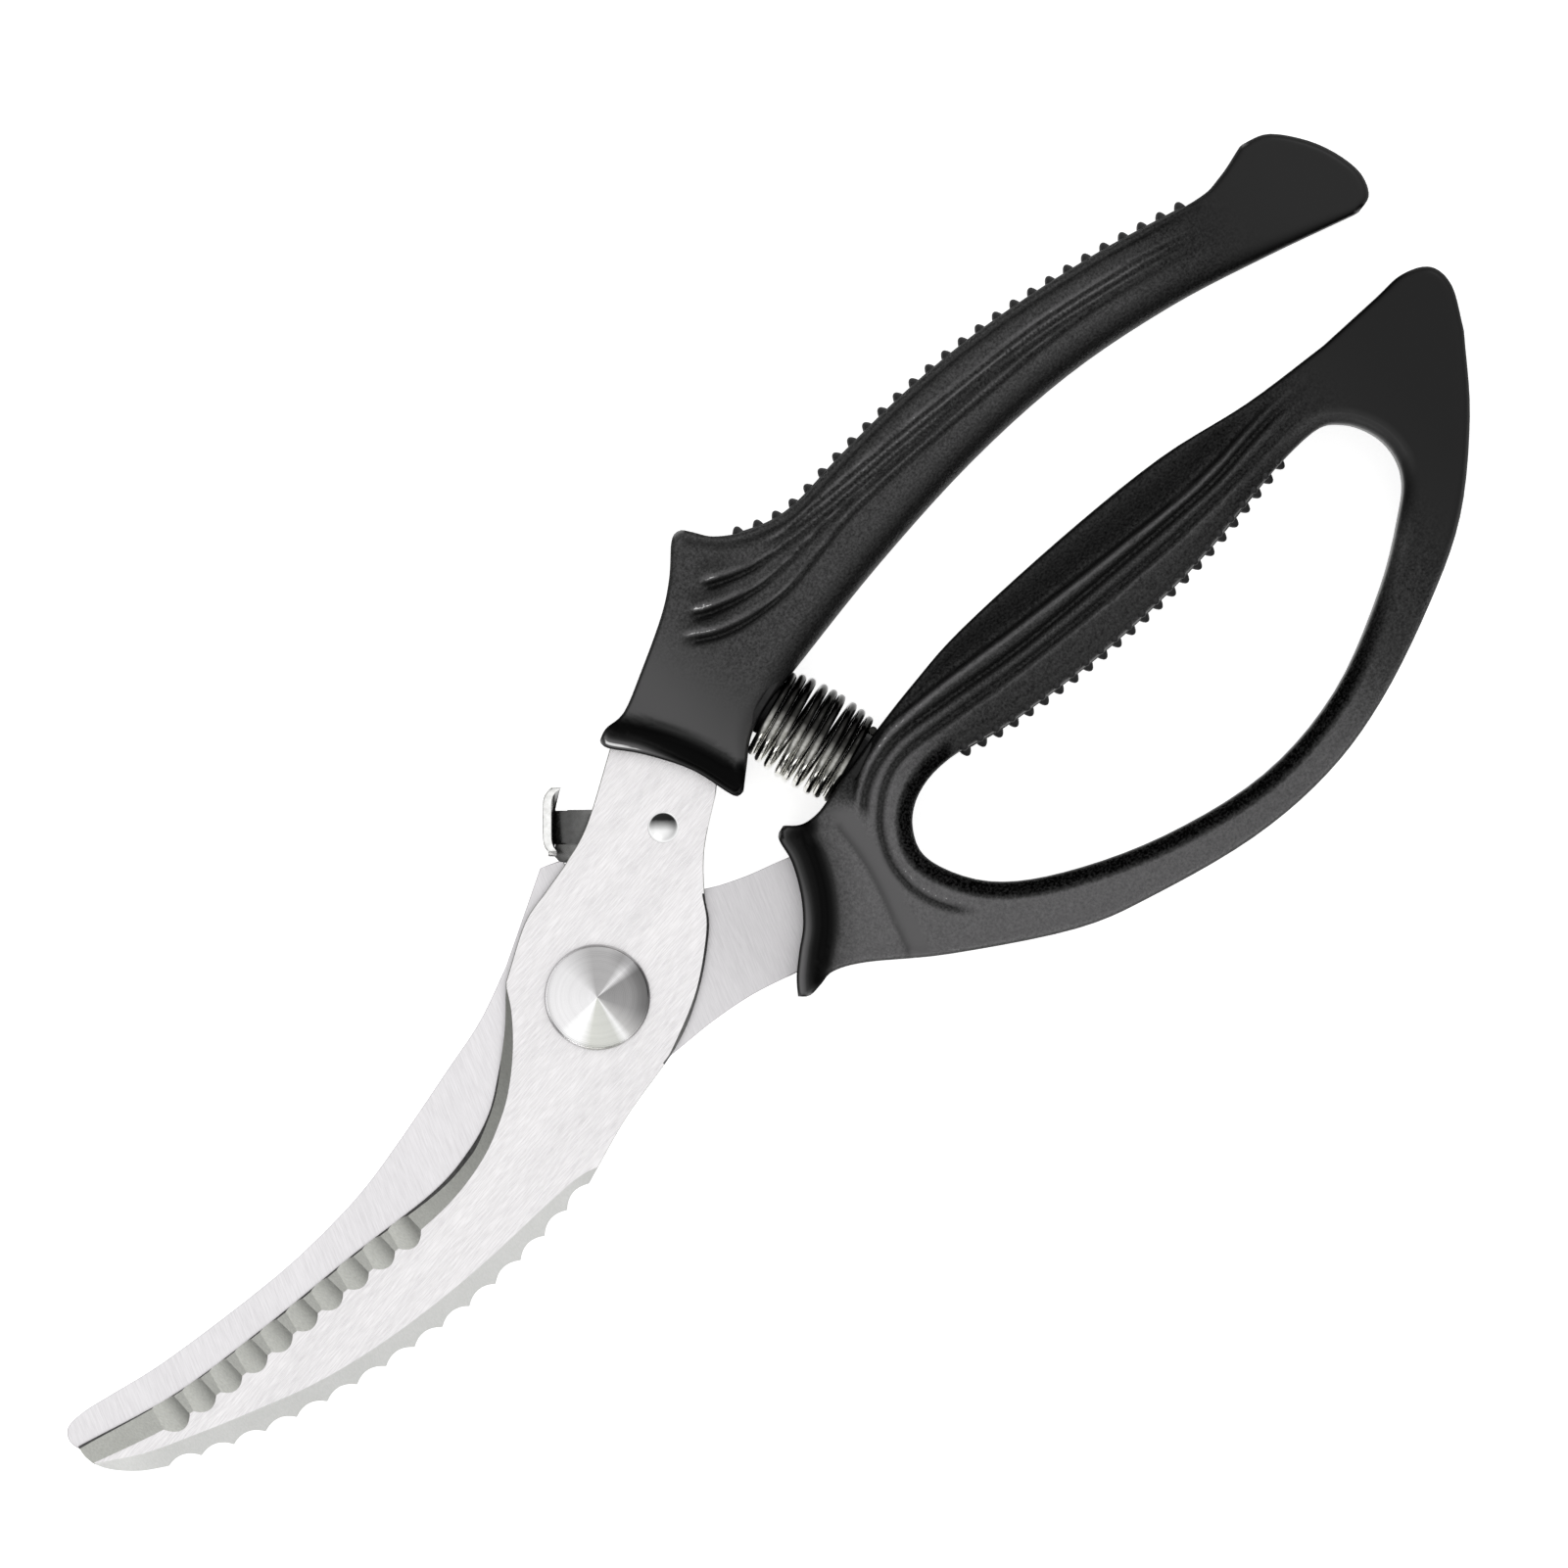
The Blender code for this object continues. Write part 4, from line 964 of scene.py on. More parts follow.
def upper_rise(points):
    """The upper handle's height over its plan, with its grain, its painted light and shade, and its sheen."""
    x, y = points[:, 0], points[:, 1]
    height = mound(points, ((UPPER_MOUTH, (0.6, 0.6)), (UPPER_BACK, (0.6, 1.0, 1.0, 1.0)),
                            (UPPER_BUTT, (1.0, 1.2, 1.2)), (UPPER_BELLY, (1.2, 4.5, 5.0, 4.0, 0.6))),
                   handle_half("upper_handle"))
    middle = ease(x, 44, 56) * (1 - ease(x, 130, 146))
    # The skin is moulded a little lower where the flutes run, so that their crests end level with the rest.
    height -= 0.8 * ease(x, 32, 46) * (1 - ease(x, 130, 148))
    # Painted light: lighter towards the ferrule and darker towards the butt.
    tone = 0.77 - 0.13 * ease(x, 32, 46) - 0.36 * ease(x, 118, 142)
    sheen = np.full(len(points), 0.5)
    # Painted shade along the belly edge.
    belly, _, _ = nearest(points, smooth(UPPER_BELLY))
    tone -= 0.4 * (1 - ease(belly, 0.6, 4.0)) * middle
    # A groove beside the rim, with painted shade in it.
    rim, _ = signed(points, smooth(UPPER_RIM))
    height -= 0.5 * hump(rim, 0.35) * middle
    tone -= 0.2 * hump(rim, 0.5) * middle
    low_line, _ = signed(points, smooth(UPPER_CREASES[2]))
    panel = ease(low_line, -0.6, 0.6) * ease(-rim, -0.2, 0.4)
    height -= 0.7 * panel * ease(x, 52, 60) * (1 - ease(x, 128, 140))
    # Each crease has painted shade in it and beside its start, and a painted highlight on the crest beside it,
    # brightest in a spot near its start.
    for line in UPPER_CREASES:
        side, along = signed(points, smooth(line))
        starts, leaves = ease(along, 0.0, 0.1), 1 - ease(along, 0.82, 1.0)
        narrow = 1 - 0.6 * ease(along, 0.1, 0.5)
        height -= 1.0 * narrow * hump(side, 0.55 * narrow) * starts * leaves
        height += 0.8 * narrow * hump(side - 1.4 * narrow, 0.8 * narrow) * starts * leaves
        tone -= 0.42 * hump(side, 0.7 * narrow) * starts * leaves
        tone -= 0.2 * hump(side - 2.9, 0.9) * starts * (1 - ease(along, 0.12, 0.3))
        crest = hump(side - 1.1 * narrow, 0.34 * narrow) * ease(along, 0.0, 0.05)
        spot = hump(along - 0.09, 0.05)
        tone += (0.26 * leaves * starts + 0.8 * spot) * crest
        sheen += 0.6 * spot * crest
    # Fine grooves, each with painted shade in it and a painted highlight beside it.
    for line in UPPER_FINE:
        side, along = signed(points, smooth(line))
        ends = ease(along, 0, 0.15) * (1 - ease(along, 0.9, 1.0))
        height -= 0.4 * hump(side, 0.28) * ends
        tone += (0.34 * hump(side - 0.42, 0.22) - 0.45 * hump(side, 0.25)) * ends
    mouth, lip = nearest(points, smooth(UPPER_MOUTH))[0], 0.9 + 1.9 * ease(y, 16, 27)
    height, tone, sheen = ferrule(mouth, lip, (2.4 + 0.4 * lip, 4.4 + 0.4 * lip), height, tone, sheen)
    # A painted highlight along the lip at the ferrule's upper end.
    tone += 0.35 * ease(y, 16, 26) * (1 - ease(mouth, 0.8, 2.6))
    grain = ease(x + 0.35 * (y - 20), 38, 50) * (1 - ease(x, 130, 143))
    return height, (grain, tone, sheen)


def lower_rise(points):
    """The lower handle's height over its plan, with its grain, its painted light and shade, and its sheen."""
    x, y = points[:, 0], points[:, 1]
    loop, _, _ = nearest(points, smooth(FINGER_LOOP, 5, True), True)
    half = handle_half("lower_handle")
    height = mound(points, ((LOWER_MOUTH, (0.6, 0.6)), (LOWER_BACK, (0.6, 1.0, 1.0, 1.0)),
                            (LOWER_HORN, (1.0, 1.2, 1.2)), (LOWER_ARC, (1.2, 2.0, 2.2, 2.2, 2.0, 0.6))), half)
    height = np.minimum(height, half - 2.2 + 2.2 * rounded(loop / 2.4))
    sheen = np.full(len(points), 0.5)
    # Painted light: the arc's grained skin is painted palest, and darker towards the horn and along the upper
    # arm.
    tone = 0.89 - 0.07 * ease(x, 60, 97) - 0.5 * ease(x, 97, 136)
    sheen -= 0.15 * ease(x, 120, 145)
    grip_side, _ = signed(points, smooth(LOWER_GRIP))
    arm = ease(y, -12, -5) * ease(x, 46, 70) * (1 - ease(x, 118, 136))
    tone += (0.47 - tone) * arm
    # A channel beside the crest with painted shade in it, and a painted highlight along the crest.
    side, along = signed(points, smooth(LOWER_CREST))
    ends = ease(along, 0.02, 0.15) * (1 - ease(along, 0.8, 1.0))
    height -= 2.3 * ends * ease(side, 0.0, 1.0) * (1 - ease(side, 1.0, 6.0))
    tone += (0.12 - tone) * ends * ease(side, 0.25, 0.8)
    crest = hump(side + 0.1, 0.42) * ease(along, 0.04, 0.2) * (1 - ease(along, 0.7, 1.0))
    tone += (0.82 + 0.15 * hump(along - 0.3, 0.17) - tone) * crest
    sheen += 0.3 * crest
    # Creases with painted shade in them and a faint painted highlight beside them.
    for line, depth, wide in zip(LOWER_CREASES, (1.1, 0.7), (0.6, 0.5)):
        side, along = signed(points, smooth(line))
        fades = ease(along, 0.0, 0.08) * (1 - ease(along, 0.85, 1.0))
        height -= depth * hump(side, wide) * fades
        tone += ((0.05 + 0.2 * arm) * hump(side + 1.0, 0.4) - 0.4 * hump(side, wide)) * fades
    # The chamfer round the hole has painted shade, with a painted highlight at the far end.
    far = ease(x, 108, 130)
    chamfer = (1 - ease(loop, 1.7, 2.5)) * (1 - (1 - ease(np.abs(grip_side), 1.5, 3.0)) * (1 - far))
    tone += (0.04 + 0.6 * far * (1 - ease(x, 128, 138) * ease(-y, 14, 22)) - tone) * chamfer
    sheen *= 1 - 0.8 * chamfer * (1 - far)
    # A fine groove with painted shade, beside a smooth stripe without grain, a touch darker.
    panel, _ = signed(points, smooth(LOWER_PANEL))
    stripe = ease(panel, -0.4, 0.2) * (1 - ease(panel, 2.6, 3.2))
    height -= 0.25 * hump(panel, 0.6)
    tone += -0.16 * hump(panel, 0.4) - 0.02 * stripe
    # Painted shade near the ferrule's mouth and in its hollow band.
    mouth = nearest(points, smooth(LOWER_MOUTH))[0]
    tone -= 0.16 * (1 - ease(mouth, 4.5, 9.0))
    height, tone, sheen = ferrule(mouth, 2.9, (3.0, 5.4), height, tone, sheen)
    # A painted highlight along the lip at the ferrule's lower end.
    tone += 0.25 * ease(-y, 4, 15) * (1 - ease(mouth, 0.8, 2.6))
    grain = (1 - stripe) * (1 - ease(x, 126, 138)) * ease(mouth, 4.0, 6.0)
    return height, (grain, tone, sheen)


def handle_half(node):
    """Half a handle's thickness, in mm."""
    low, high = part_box(node)
    return (high.z - low.z) / 2 / MM


def upper_handle():
    """The straight handle with its flutes."""
    border = chain(*(smooth(run) for run in (UPPER_MOUTH, UPPER_BACK, UPPER_BUTT, UPPER_BELLY)))
    creases = [smooth(line) for line in UPPER_CREASES + UPPER_FINE + [UPPER_RIM]]
    return moulding("upper_handle_moulding", border, [], creases, upper_rise, 1.1)


def lower_handle():
    """The handle with the finger loop and the horn."""
    border = chain(*(smooth(run) for run in (LOWER_MOUTH, LOWER_BACK, LOWER_HORN, LOWER_ARC)))
    creases = [smooth(line) for line in LOWER_CREASES + [LOWER_CREST, LOWER_PANEL]]
    return moulding("lower_handle_moulding", border, [smooth(FINGER_LOOP, 5, True)], creases, lower_rise, 1.2)


# ---------------------------------------------------------------- grips


def tooth(radius, height, sides=14):
    """A blunt tooth that points along +X: a domed cone with a hollowed flank."""
    profile = [(1.0, -0.6), (1.0, 0.0), (0.9, 0.28), (0.7, 0.58), (0.46, 0.84), (0.22, 0.97)]
    points = [(height * out, radius * wide * cos(tau * i / sides), radius * wide * sin(tau * i / sides))
              for wide, out in profile for i in range(sides)] + [(height, 0, 0)]
    faces = quads(len(profile), sides)
    last = (len(profile) - 1) * sides
    faces += [(last + i, last + (i + 1) % sides, len(points) - 1) for i in range(sides)]
    faces.append(tuple(range(sides)))
    mesh = bpy.data.meshes.new("grip_tooth")
    mesh.from_pydata([Vector(p) * MM for p in points], [], faces)
    return new_object("grip_tooth", mesh)


def teeth_tree():
    """Teeth on a line, each turned to the line's right and leaning up by the lift."""
    tree, sizes = new_tree("grip_teeth", {
        "Teeth": ("NodeSocketInt", 27), "Lift": ("NodeSocketFloat", 0.0), "Tooth": ("NodeSocketObject", None),
        "Material": ("NodeSocketMaterial", None)})
    curve = add(tree, "GeometryNodeMeshToCurve", {"Mesh": sizes.outputs["Geometry"]})
    spots = add(tree, "GeometryNodeCurveToPoints", {"Curve": curve, "Count": sizes.outputs["Teeth"]})
    tangent = spots.outputs["Tangent"]
    out = add(tree, "ShaderNodeVectorMath", {0: tangent, 1: (0, 0, 1)}, operation="CROSS_PRODUCT")
    raised = add(tree, "ShaderNodeCombineXYZ", {2: sizes.outputs["Lift"]})
    leaning = add(tree, "ShaderNodeVectorMath", {0: out, 1: raised}, operation="ADD")
    facing = add(tree, "FunctionNodeAxesToRotation", {0: leaning, 1: tangent},
                 primary_axis="X", secondary_axis="Y")
    one = add(tree, "GeometryNodeObjectInfo", {"Object": sizes.outputs["Tooth"]})
    put = add(tree, "GeometryNodeInstanceOnPoints", {"Points": spots, "Instance": one.outputs["Geometry"],
                                                     "Rotation": facing})
    real = add(tree, "GeometryNodeRealizeInstances", {0: put})
    soft = add(tree, "GeometryNodeSetMaterial", {"Geometry": real, "Material": sizes.outputs["Material"]})
    add(tree, "NodeGroupOutput", {0: soft})
    return tree


def strip(name, line, half, thick, inset):
    """The band that the teeth stand on: a flat-backed ribbon along the line, rounded along its rims."""
    section = [(-inset, -half), (thick - 0.35, -half), (thick - 0.1, -half + 0.15), (thick, -half + 0.5),
               (thick, half - 0.5), (thick - 0.1, half - 0.15), (thick - 0.35, half), (-inset, half)]
    return swept(name, line, section, angle=40)


def grip(name, line, rows, teeth, body, node, sizes):
    """A grip strip with its rows of teeth, given as (height in mm, setback in mm, lift)."""
    line = evenly(smooth(line), 0.8)
    pieces = [strip(name + "_band", line, sizes.strip_half, 0.15, 1.2)]
    one = tooth(sizes.tooth_radius, sizes.tooth_height)
    tree = teeth_tree()
    for i, (height, setback, lift) in enumerate(rows):
        row = line + setback * normals(line)
        spots = line_object(f"{name}_row_{i}", [(*point, height) for point in row])
        settings = {"Teeth": teeth, "Lift": lift, "Tooth": one, "Material": finish("rubber")}
        pieces.append(grown(spots, tree, settings, finish("rubber")))
    bpy.data.objects.remove(one)
    made = tidy(joined(pieces, name), 40)
    dress(made, finish("rubber"))
    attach(made, body)
    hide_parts(node)


# ---------------------------------------------------------------- spring


def coil_line(sizes, steps=40):
    """The wire's centre line, each point's share of the way, and the two ends of the coil's axis.

    It has a close turn at each end, a swelling middle, and a slightly uneven pitch.
    """
    closed = 1.05 * sizes.wire
    reach = sizes.spring_length / 2 - sizes.blade_gap - sizes.wire / 2
    pitch = (2 * reach - 2 * closed) / (sizes.turns - 2)
    axis = Vector((cos(COIL_WAY), sin(COIL_WAY), 0))
    turn = Vector((0, 0, 1)).rotation_difference(axis).to_matrix()
    middle = Vector((*COIL_MIDDLE, 0))
    points, shares = [], []
    for i in range(sizes.turns * steps + 1):
        turns = i / steps
        at_ends = min(turns, 1) + max(turns - sizes.turns + 1, 0)
        along = at_ends * closed + (turns - at_ends) * pitch - reach
        along += 0.22 * sin(2.1 * turns + 0.6) * sin(pi * turns / sizes.turns)
        swell = sin(pi * turns / sizes.turns) ** 0.6
        radius = sizes.coil_end_radius + (sizes.coil_radius - sizes.coil_end_radius) * swell
        points.append(middle + turn @ Vector((radius * cos(tau * turns), radius * sin(tau * turns), along)))
        shares.append((along + reach) / (2 * reach))
    return points, shares, middle - reach * axis, middle + reach * axis


def wire_tree():
    """Round wire along a line, with closed ends."""
    tree, sizes = new_tree("wire", {
        "Wire": ("NodeSocketFloat", 0.6 * MM), "Material": ("NodeSocketMaterial", None)})
    curve = add(tree, "GeometryNodeMeshToCurve", {"Mesh": sizes.outputs["Geometry"]})
    circle = add(tree, "GeometryNodeCurvePrimitiveCircle", {"Resolution": 14, "Radius": sizes.outputs["Wire"]})
    mesh = add(tree, "GeometryNodeCurveToMesh", {"Curve": curve, "Profile Curve": circle, "Fill Caps": True})
    real = add(tree, "GeometryNodeRealizeInstances", {0: mesh})
    plated = add(tree, "GeometryNodeSetMaterial", {"Geometry": real, "Material": sizes.outputs["Material"]})
    add(tree, "NodeGroupOutput", {0: plated})
    return tree


def coil_spring(sizes):
    """The coil, which stretches between the two halves."""
    points, shares, start, end = coil_line(sizes)
    coil = grown(line_object("coil_spring", points), wire_tree(),
                 {"Wire": sizes.wire / 2 * MM, "Material": finish("wire")}, finish("wire"))
    tidy(coil, 45)
    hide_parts("spring")
    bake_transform(coil, "upper_half", "lower_half", in_frame([start])[0], in_frame([end])[0])
    # One share for each ring of the wire, so that its section stays round as the coil opens.
    line = np.array([tuple(p) for p in in_frame(points)])
    co = np.array([tuple(v.co) for v in coil.data.vertices])
    near = np.array([np.argmin(((line - point) ** 2).sum(axis=1)) for point in co])
    # The wire is painted dark on the side that faces the handles' open end, as painted shade, and bright on
    # the pivot's side, as painted highlight.
    middle = line.mean(axis=0)
    way = np.array([cos(radians(18)), sin(radians(18)), 0])
    rise = (line - middle) @ way / (sizes.coil_radius * MM)
    painted(coil, "tone", (0.03 + 0.97 * (1 - ease(rise, -0.45, 0.2)))[near])
    blend = coil.data.attributes["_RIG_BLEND"]
    blend.data.foreach_set("value", np.clip(shares, 0, 1)[near].astype(np.float32))


# ---------------------------------------------------------------- pivot and catch


def pivot_head(sizes):
    """The pivot screw: a low turned head with a broken rim, and its shank."""
    under = sizes.blade_gap * 1.5 + sizes.blade_thickness
    top = under + 2.3
    radius = sizes.head_radius
    profile = [(0, top - 0.42), (radius * 0.3, top - 0.3), (radius * 0.6, top - 0.16),
               (radius - 1.0, top - 0.02), (radius - 0.75, top), (radius - 0.35, top - 0.12),
               (radius - 0.1, top - 0.45), (radius, top - 0.85), (radius, under), (3.5, under), (3.5, -7.6),
               (2.9, -8.2), (0, -8.2)]
    head = turned("pivot_screw", profile, (0, 0))
    dress(head, finish("turned"))
    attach(head, "upper_half")
    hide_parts("pivot_bolt")


def dished_rivet(sizes):
    """The catch's rivet: a small dish in front, a shank, and a formed tail."""
    top = sizes.blade_gap / 2 + sizes.blade_thickness
    tail = (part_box("latch_rivet")[0].z - PIVOT.z) / MM
    profile = [(0, top - 0.45), (0.5, top - 0.43), (0.95, top - 0.36), (1.35, top - 0.24), (1.7, top - 0.09),
               (1.95, top + 0.03), (2.12, top + 0.04), (2.2, top), (2.2, top - 0.1), (1.85, top - 0.3),
               (1.75, tail + 1.1), (3.0, tail + 1.1), (3.0, tail + 0.6), (2.2, tail), (0, tail)]
    rivet = turned("dished_rivet", profile, RIVET, 64)
    dress(rivet, finish("dish"))
    # Painted reflection: the dish is painted dark on the wall towards the upper handle and bright on the one
    # opposite, and its rim is kept bright.
    lean = radians(50)
    offsets = [(vertex.co - PIVOT) / MM - RIVET for vertex in rivet.data.vertices]
    painted(rivet, "tone", [0.95 if offset.xy.length > 2.0 else
                            0.6 - 0.5 * (offset.x * cos(lean) + offset.y * sin(lean)) for offset in offsets])
    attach(rivet, "upper_half")
    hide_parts("latch_rivet")


def catch_lever(thick, top):
    """The catch's flat lever with the boss that turns on the rivet."""
    boss = [(4 * cos(turn), 4 * sin(turn)) for turn in np.radians(np.arange(60, 301, 10))]
    lever = np.array(boss + [(5.0, -2.6), (13.6, -2.5), (14.2, 0), (15.3, 2.4), (15.6, 3.9), (14.6, 5.0),
                             (11.0, 5.0), (8.0, 4.4), (5.4, 3.2)])
    return outline_plate("catch_lever", lever, top - thick, top, 0.1)


def catch_tab(thick, top):
    """The bend and the thumb tab, on a row of stations from the lever's end up to the tab's rim."""
    start, radius = CATCH_BEND_START, CATCH_BEND
    stations = [(12.6 + step * 0.5, top, 0.0) for step in range(2)]
    stations += [(start + radius * sin(turn), top + radius * (1 - cos(turn)), turn)
                 for turn in np.radians(np.arange(0, 91, 10))]
    stations += [(start + radius, top + radius + rise, pi / 2) for rise in (0.8, 1.8, 2.8, 3.6, 4.0)]
    points, faces = [], []
    across = np.linspace(0, 1, 17)
    for x, z, turn in stations:
        # The tab widens as it rises, its ends bow back, and its rim is crowned.
        up = min(1.0, max(0.0, z - top - 0.9) / 1.6)
        low, high = -2.4 - 3.9 * up ** 1.5, 2.4 + 1.7 * up ** 1.5
        crown = ease(np.array([z - top]), 5.6, 6.6)[0]
        low, high = low + 0.9 * crown, high - 0.9 * crown
        for depth in (0, thick):
            for share in across:
                y = low + share * (high - low)
                bow = (1.5 if share < 0.5 else 0.8) * (abs(2 * share - 1) ** 6) * up
                points.append((x + depth * sin(turn) - bow, y, z - depth * cos(turn)))
    wide, count = len(across), len(stations)
    for i in range(count - 1):
        for j in range(wide - 1):
            a, b = i * 2 * wide + j, (i + 1) * 2 * wide + j
            faces.append((a, a + 1, b + 1, b))
            faces.append((a + wide, b + wide, b + wide + 1, a + wide + 1))
        for j in (0, wide - 1):
            a, b = i * 2 * wide + j, (i + 1) * 2 * wide + j
            faces.append((a, b, b + wide, a + wide))
    for i in (0, count - 1):
        for j in range(wide - 1):
            a = i * 2 * wide + j
            faces.append((a, a + 1, a + 1 + wide, a + wide))
    return tidy(shape("catch_tab", points, faces), 40)


def catch(sizes):
    """The catch: a lever cut from strip, its end bent up through a round into the thumb tab."""
    thick, top = CATCH_STRIP, -sizes.blade_gap / 2
    plate, tab = catch_lever(thick, top), catch_tab(thick, top)
    turn = Matrix.Translation(PIVOT) @ Matrix.Rotation(CATCH_WAY, 4, "Z") @ Matrix.Translation(-PIVOT)
    shift = Matrix.Translation(Vector((RIVET.x, RIVET.y, 0)) * MM)
    for obj in (plate, tab):
        obj.data.transform(shift @ turn)
    bevel = tab.modifiers.new("rims", "BEVEL")
    bevel.width, bevel.segments = 0.25 * MM, 3
    bevel.limit_method, bevel.angle_limit = "ANGLE", radians(50)
    solid_mesh(tab)
    boolean(plate, [tab], "UNION")
    made = tidy(plate, 30)
    made.name = "thumb_catch"
    dress(made, finish("catch"))
    # Painted light and shade: the lever is painted dark beside the bend, as painted shade, and the raised tab
    # is painted bright.
    places = [(vertex.co - PIVOT) / MM for vertex in made.data.vertices]
    out = np.array([(at.x - RIVET.x) * cos(CATCH_WAY) + (at.y - RIVET.y) * sin(CATCH_WAY) for at in places])
    above = np.array([at.z - top for at in places])
    painted_brightness = np.maximum(ease(above, 1.4, 2.4), 0.55 * (1 - ease(out, 7.5, 13.5)))
    painted(made, "tone", 0.1 + 0.9 * painted_brightness)
    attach(made, "latch_body")
    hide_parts("latch")


# ---------------------------------------------------------------- settings and operators


class ShearsSizes(bpy.types.PropertyGroup):
    blade_thickness: FloatProperty(
        name="Blade thickness", description="Thickness of each blade, mm", default=2.5, min=1.5, max=4)
    blade_gap: FloatProperty(
        name="Blade gap", description="Room between the blades, mm", default=0.3, min=0.1, max=1)
    edge_bevel: FloatProperty(
        name="Edge bevel", description="Angle ground along the cutting edge", default=radians(29),
        subtype="ANGLE")
    spine_bevel: FloatProperty(
        name="Spine bevel", description="Angle ground along the toothed spine", default=radians(27),
        subtype="ANGLE")
    flutes: IntProperty(
        name="Flutes", description="Flutes ground into the upper edge", default=10, min=1, max=20)
    flute_radius: FloatProperty(
        name="Flute radius", description="Radius of the grinding wheel's rim, mm", default=4.0)
    flute_slope: FloatProperty(
        name="Flute slope", description="How steeply a flute falls to the edge", default=radians(26),
        subtype="ANGLE")
    spine_teeth: IntProperty(
        name="Spine teeth", description="Hollows along the spine", default=15, min=3, max=40)
    spine_tooth_depth: FloatProperty(
        name="Spine tooth depth", description="Depth of each hollow, mm", default=0.95)
    strip_half: FloatProperty(
        name="Strip half width", description="Half of a grip strip's width, mm", default=2.8)
    upper_teeth: IntProperty(
        name="Upper grip teeth", description="Teeth in a row of the upper strip", default=27)
    lower_teeth: IntProperty(
        name="Lower grip teeth", description="Teeth in a row of the lower strip", default=24)
    tooth_radius: FloatProperty(
        name="Tooth radius", description="Radius of a grip tooth at its foot, mm", default=0.85)
    tooth_height: FloatProperty(
        name="Tooth height", description="How far a grip tooth stands out, mm", default=1.05)
    wire: FloatProperty(name="Wire", description="Diameter of the spring's wire, mm", default=1.2)
    coil_radius: FloatProperty(
        name="Coil radius", description="Radius of the middle coils' centre line, mm", default=6.9)
    coil_end_radius: FloatProperty(
        name="Coil end radius", description="Radius of the end coils, mm", default=5.7)
    turns: IntProperty(name="Turns", description="Turns of the spring", default=9, min=3, max=20)
    spring_length: FloatProperty(name="Spring length", description="From seat to seat, mm", default=15.6)
    head_radius: FloatProperty(
        name="Pivot head radius", description="Radius of the screw's head, mm", default=7.5)


class ShearsStage(bpy.types.PropertyGroup):
    floor: FloatVectorProperty(
        name="Floor", description="Colour of the floor", subtype="COLOR", size=3,
        default=linear("#f4f4f4")[:3], min=0, max=1)
    table: FloatProperty(
        name="Table light", description="Brightness of the table top itself", default=0.75)
    sky: FloatProperty(name="Tent light", description="Brightness of the light tent overhead", default=1.1)
    key: FloatProperty(
        name="Key light", description="Power of the light at the top right, watts", default=1.0)
    low: FloatProperty(
        name="Low light", description="Power of the low light at the bottom, watts", default=1.5)


class SHEARS_OT_blades(bpy.types.Operator):
    """Build both ground blades"""
    bl_idname = "shears.blades"
    bl_label = "Blades"

    def execute(self, context):
        upper_blade(context.scene.shears_sizes)
        lower_blade(context.scene.shears_sizes)
        return {"FINISHED"}


class SHEARS_OT_handles(bpy.types.Operator):
    """Build both moulded handles"""
    bl_idname = "shears.handles"
    bl_label = "Handles"

    def execute(self, context):
        for made, body, node in ((upper_handle(), "upper_half", "upper_handle"),
                                 (lower_handle(), "lower_half", "lower_handle")):
            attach(made, body)
            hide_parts(node)
        return {"FINISHED"}


class SHEARS_OT_grips(bpy.types.Operator):
    """Build the soft strips with their rows of teeth"""
    bl_idname = "shears.grips"
    bl_label = "Grip strips"

    def execute(self, context):
        sizes = context.scene.shears_sizes
        grip("upper_grip_teeth", UPPER_GRIP[::-1], GRIP_ROWS, sizes.upper_teeth, "upper_half",
             "upper_grip_strip", sizes)
        grip("lower_grip_teeth", LOWER_GRIP, GRIP_ROWS + SHOULDER_ROWS, sizes.lower_teeth, "lower_half",
             "lower_grip_strip", sizes)
        return {"FINISHED"}


class SHEARS_OT_spring(bpy.types.Operator):
    """Build the coil spring, which opens and closes with the handles"""
    bl_idname = "shears.spring"
    bl_label = "Spring"

    def execute(self, context):
        coil_spring(context.scene.shears_sizes)
        return {"FINISHED"}


class SHEARS_OT_pivot(bpy.types.Operator):
    """Build the pivot screw and the catch's rivet"""
    bl_idname = "shears.pivot"
    bl_label = "Pivot and rivet"

    def execute(self, context):
        pivot_head(context.scene.shears_sizes)
        dished_rivet(context.scene.shears_sizes)
        return {"FINISHED"}


class SHEARS_OT_catch(bpy.types.Operator):
    """Build the catch with its thumb tab"""
    bl_idname = "shears.catch"
    bl_label = "Catch"

    def execute(self, context):
        catch(context.scene.shears_sizes)
        return {"FINISHED"}


class SHEARS_OT_carried(bpy.types.Operator):
    """Give the nut, washers and spring cups their finishes"""
    bl_idname = "shears.carried"
    bl_label = "Nut, washers and cups"

    def execute(self, context):
        for node in ("pivot_nut", "pivot_washer", "latch_washer", "upper_spring_cup", "lower_spring_cup"):
            dress(NODES[node], finish("seat" if node.endswith("cup") else "sheet"))
        return {"FINISHED"}


def area_light(name, at, aim, size, power):
    """A soft rectangle of light that faces its aim and isn't seen itself."""
    light = bpy.data.lights.new(name, "AREA")
    light.shape, light.size, light.size_y, light.energy = "RECTANGLE", size[0], size[1], power
    obj = bpy.data.objects.new(name, light)
    obj.location = at
    obj.rotation_euler = (Vector(at) - Vector(aim)).to_track_quat("Z", "Y").to_euler()
    obj.visible_camera = False
    bpy.context.scene.collection.objects.link(obj)


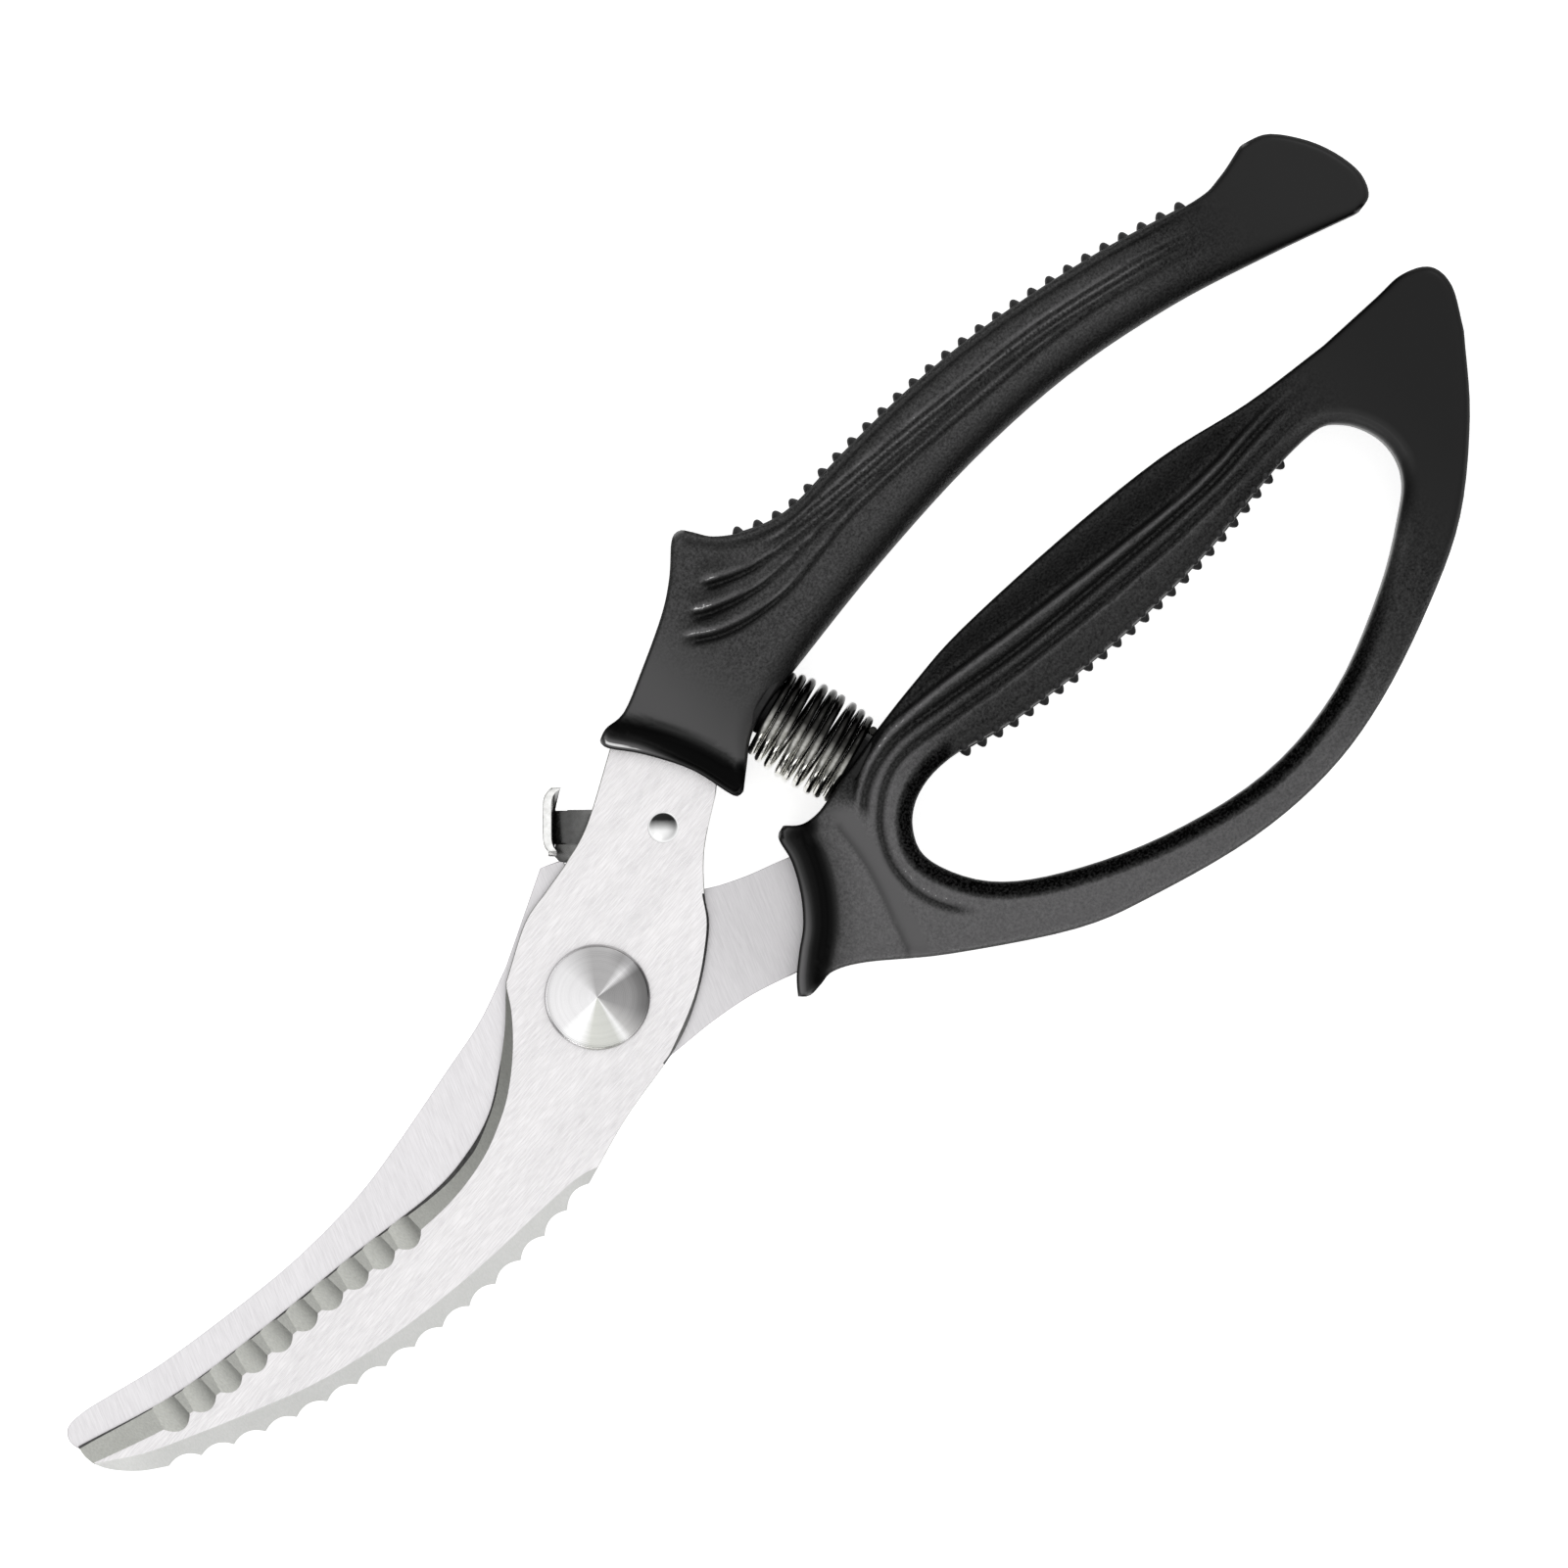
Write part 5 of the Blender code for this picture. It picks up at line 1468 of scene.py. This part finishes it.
def studio(scene, stage, right, up):
    """An even tent of light: brightest overhead, a little towards the top right, and dim at table height."""
    world = bpy.data.worlds.new("light_tent")
    scene.world = world
    world.use_nodes = True
    tree = world.node_tree
    way = add(tree, "ShaderNodeTexCoord").outputs["Generated"]
    axis = (Vector((0, 0, 1)) + 0.22 * up + 0.28 * right).normalized()
    height = add(tree, "ShaderNodeVectorMath", {0: way, 1: axis}, operation="DOT_PRODUCT")
    shades = spread(tree, height.outputs["Value"],
                    [(level, level, level, 1.0) for level in (0.10, 0.24, 0.56, 0.88, 1.0)],
                    (0.0, 0.2, 0.5, 0.82, 0.95))
    connect(tree.nodes["Background"], {"Color": shades, "Strength": stage.sky})


class SHEARS_OT_stage(bpy.types.Operator):
    """Set up the pale floor, the soft lights and the camera"""
    bl_idname = "shears.stage"
    bl_label = "Floor, light and camera"

    def execute(self, context):
        stage = context.scene.shears_stage
        mesh = bpy.data.meshes.new("pale_floor")
        reach = FLOOR_REACH * MM
        mesh.from_pydata([(-reach, -reach, 0), (reach, -reach, 0), (reach, reach, 0), (-reach, reach, 0)], [],
                         [(0, 1, 2, 3)])
        floor = new_object("pale_floor", mesh)
        # A back-lit white table top takes the shadows away.
        dress(floor, new_material("back_lit_white_acrylic", (*stage.floor, 1.0), 0.0, 0.8,
                                  Emission_Color=(1, 1, 1, 1), Emission_Strength=stage.table)[0])

        right = Vector((cos(VIEW_TURN), sin(VIEW_TURN), 0))
        up = Vector((-sin(VIEW_TURN), cos(VIEW_TURN), 0))
        middle = Vector((PIVOT.x, PIVOT.y, 0)) + Vector((*VIEW_MIDDLE, 0)) * MM
        studio(context.scene, stage, right, up)
        key_at = middle + 0.45 * right + 0.8 * up + Vector((0, 0, 0.8))
        low_at = middle - 0.3 * right - 1.0 * up + Vector((0, 0, 0.35))
        area_light("key", key_at, middle, (0.5, 0.4), stage.key)
        area_light("low", low_at, middle, (0.8, 0.25), stage.low)

        camera = bpy.data.cameras.new("above")
        camera.lens = camera.sensor_width * CAMERA_HEIGHT / VIEW_WIDTH
        camera.clip_end = 20
        obj = bpy.data.objects.new("above", camera)
        obj.location = middle + Vector((0, 0, PIVOT.z + CAMERA_HEIGHT * MM))
        obj.rotation_euler = (0, 0, VIEW_TURN)
        context.scene.collection.objects.link(obj)
        context.scene.camera = obj
        context.scene.view_settings.view_transform = "Standard"
        return {"FINISHED"}


class SHEARS_PT_panel(bpy.types.Panel):
    bl_label = "Poultry shears"
    bl_space_type = "VIEW_3D"
    bl_region_type = "UI"
    bl_category = "Shears"

    def draw(self, context):
        for made in OPERATORS:
            self.layout.operator(made.bl_idname)
        for group in (context.scene.shears_sizes, context.scene.shears_stage):
            box = self.layout.box()
            for name in group.__annotations__:
                box.prop(group, name)


OPERATORS = (SHEARS_OT_blades, SHEARS_OT_handles, SHEARS_OT_grips, SHEARS_OT_spring, SHEARS_OT_pivot,
             SHEARS_OT_catch, SHEARS_OT_carried, SHEARS_OT_stage)
CLASSES = (ShearsSizes, ShearsStage, *OPERATORS, SHEARS_PT_panel)


def register():
    for made in CLASSES:
        bpy.utils.register_class(made)
    bpy.types.Scene.shears_sizes = PointerProperty(type=ShearsSizes)
    bpy.types.Scene.shears_stage = PointerProperty(type=ShearsStage)


def unregister():
    del bpy.types.Scene.shears_stage
    del bpy.types.Scene.shears_sizes
    for made in reversed(CLASSES):
        bpy.utils.unregister_class(made)


def main():
    register()
    for made in OPERATORS:
        group, name = made.bl_idname.split(".")
        getattr(getattr(bpy.ops, group), name)()


if __name__ == "__main__":
    main()
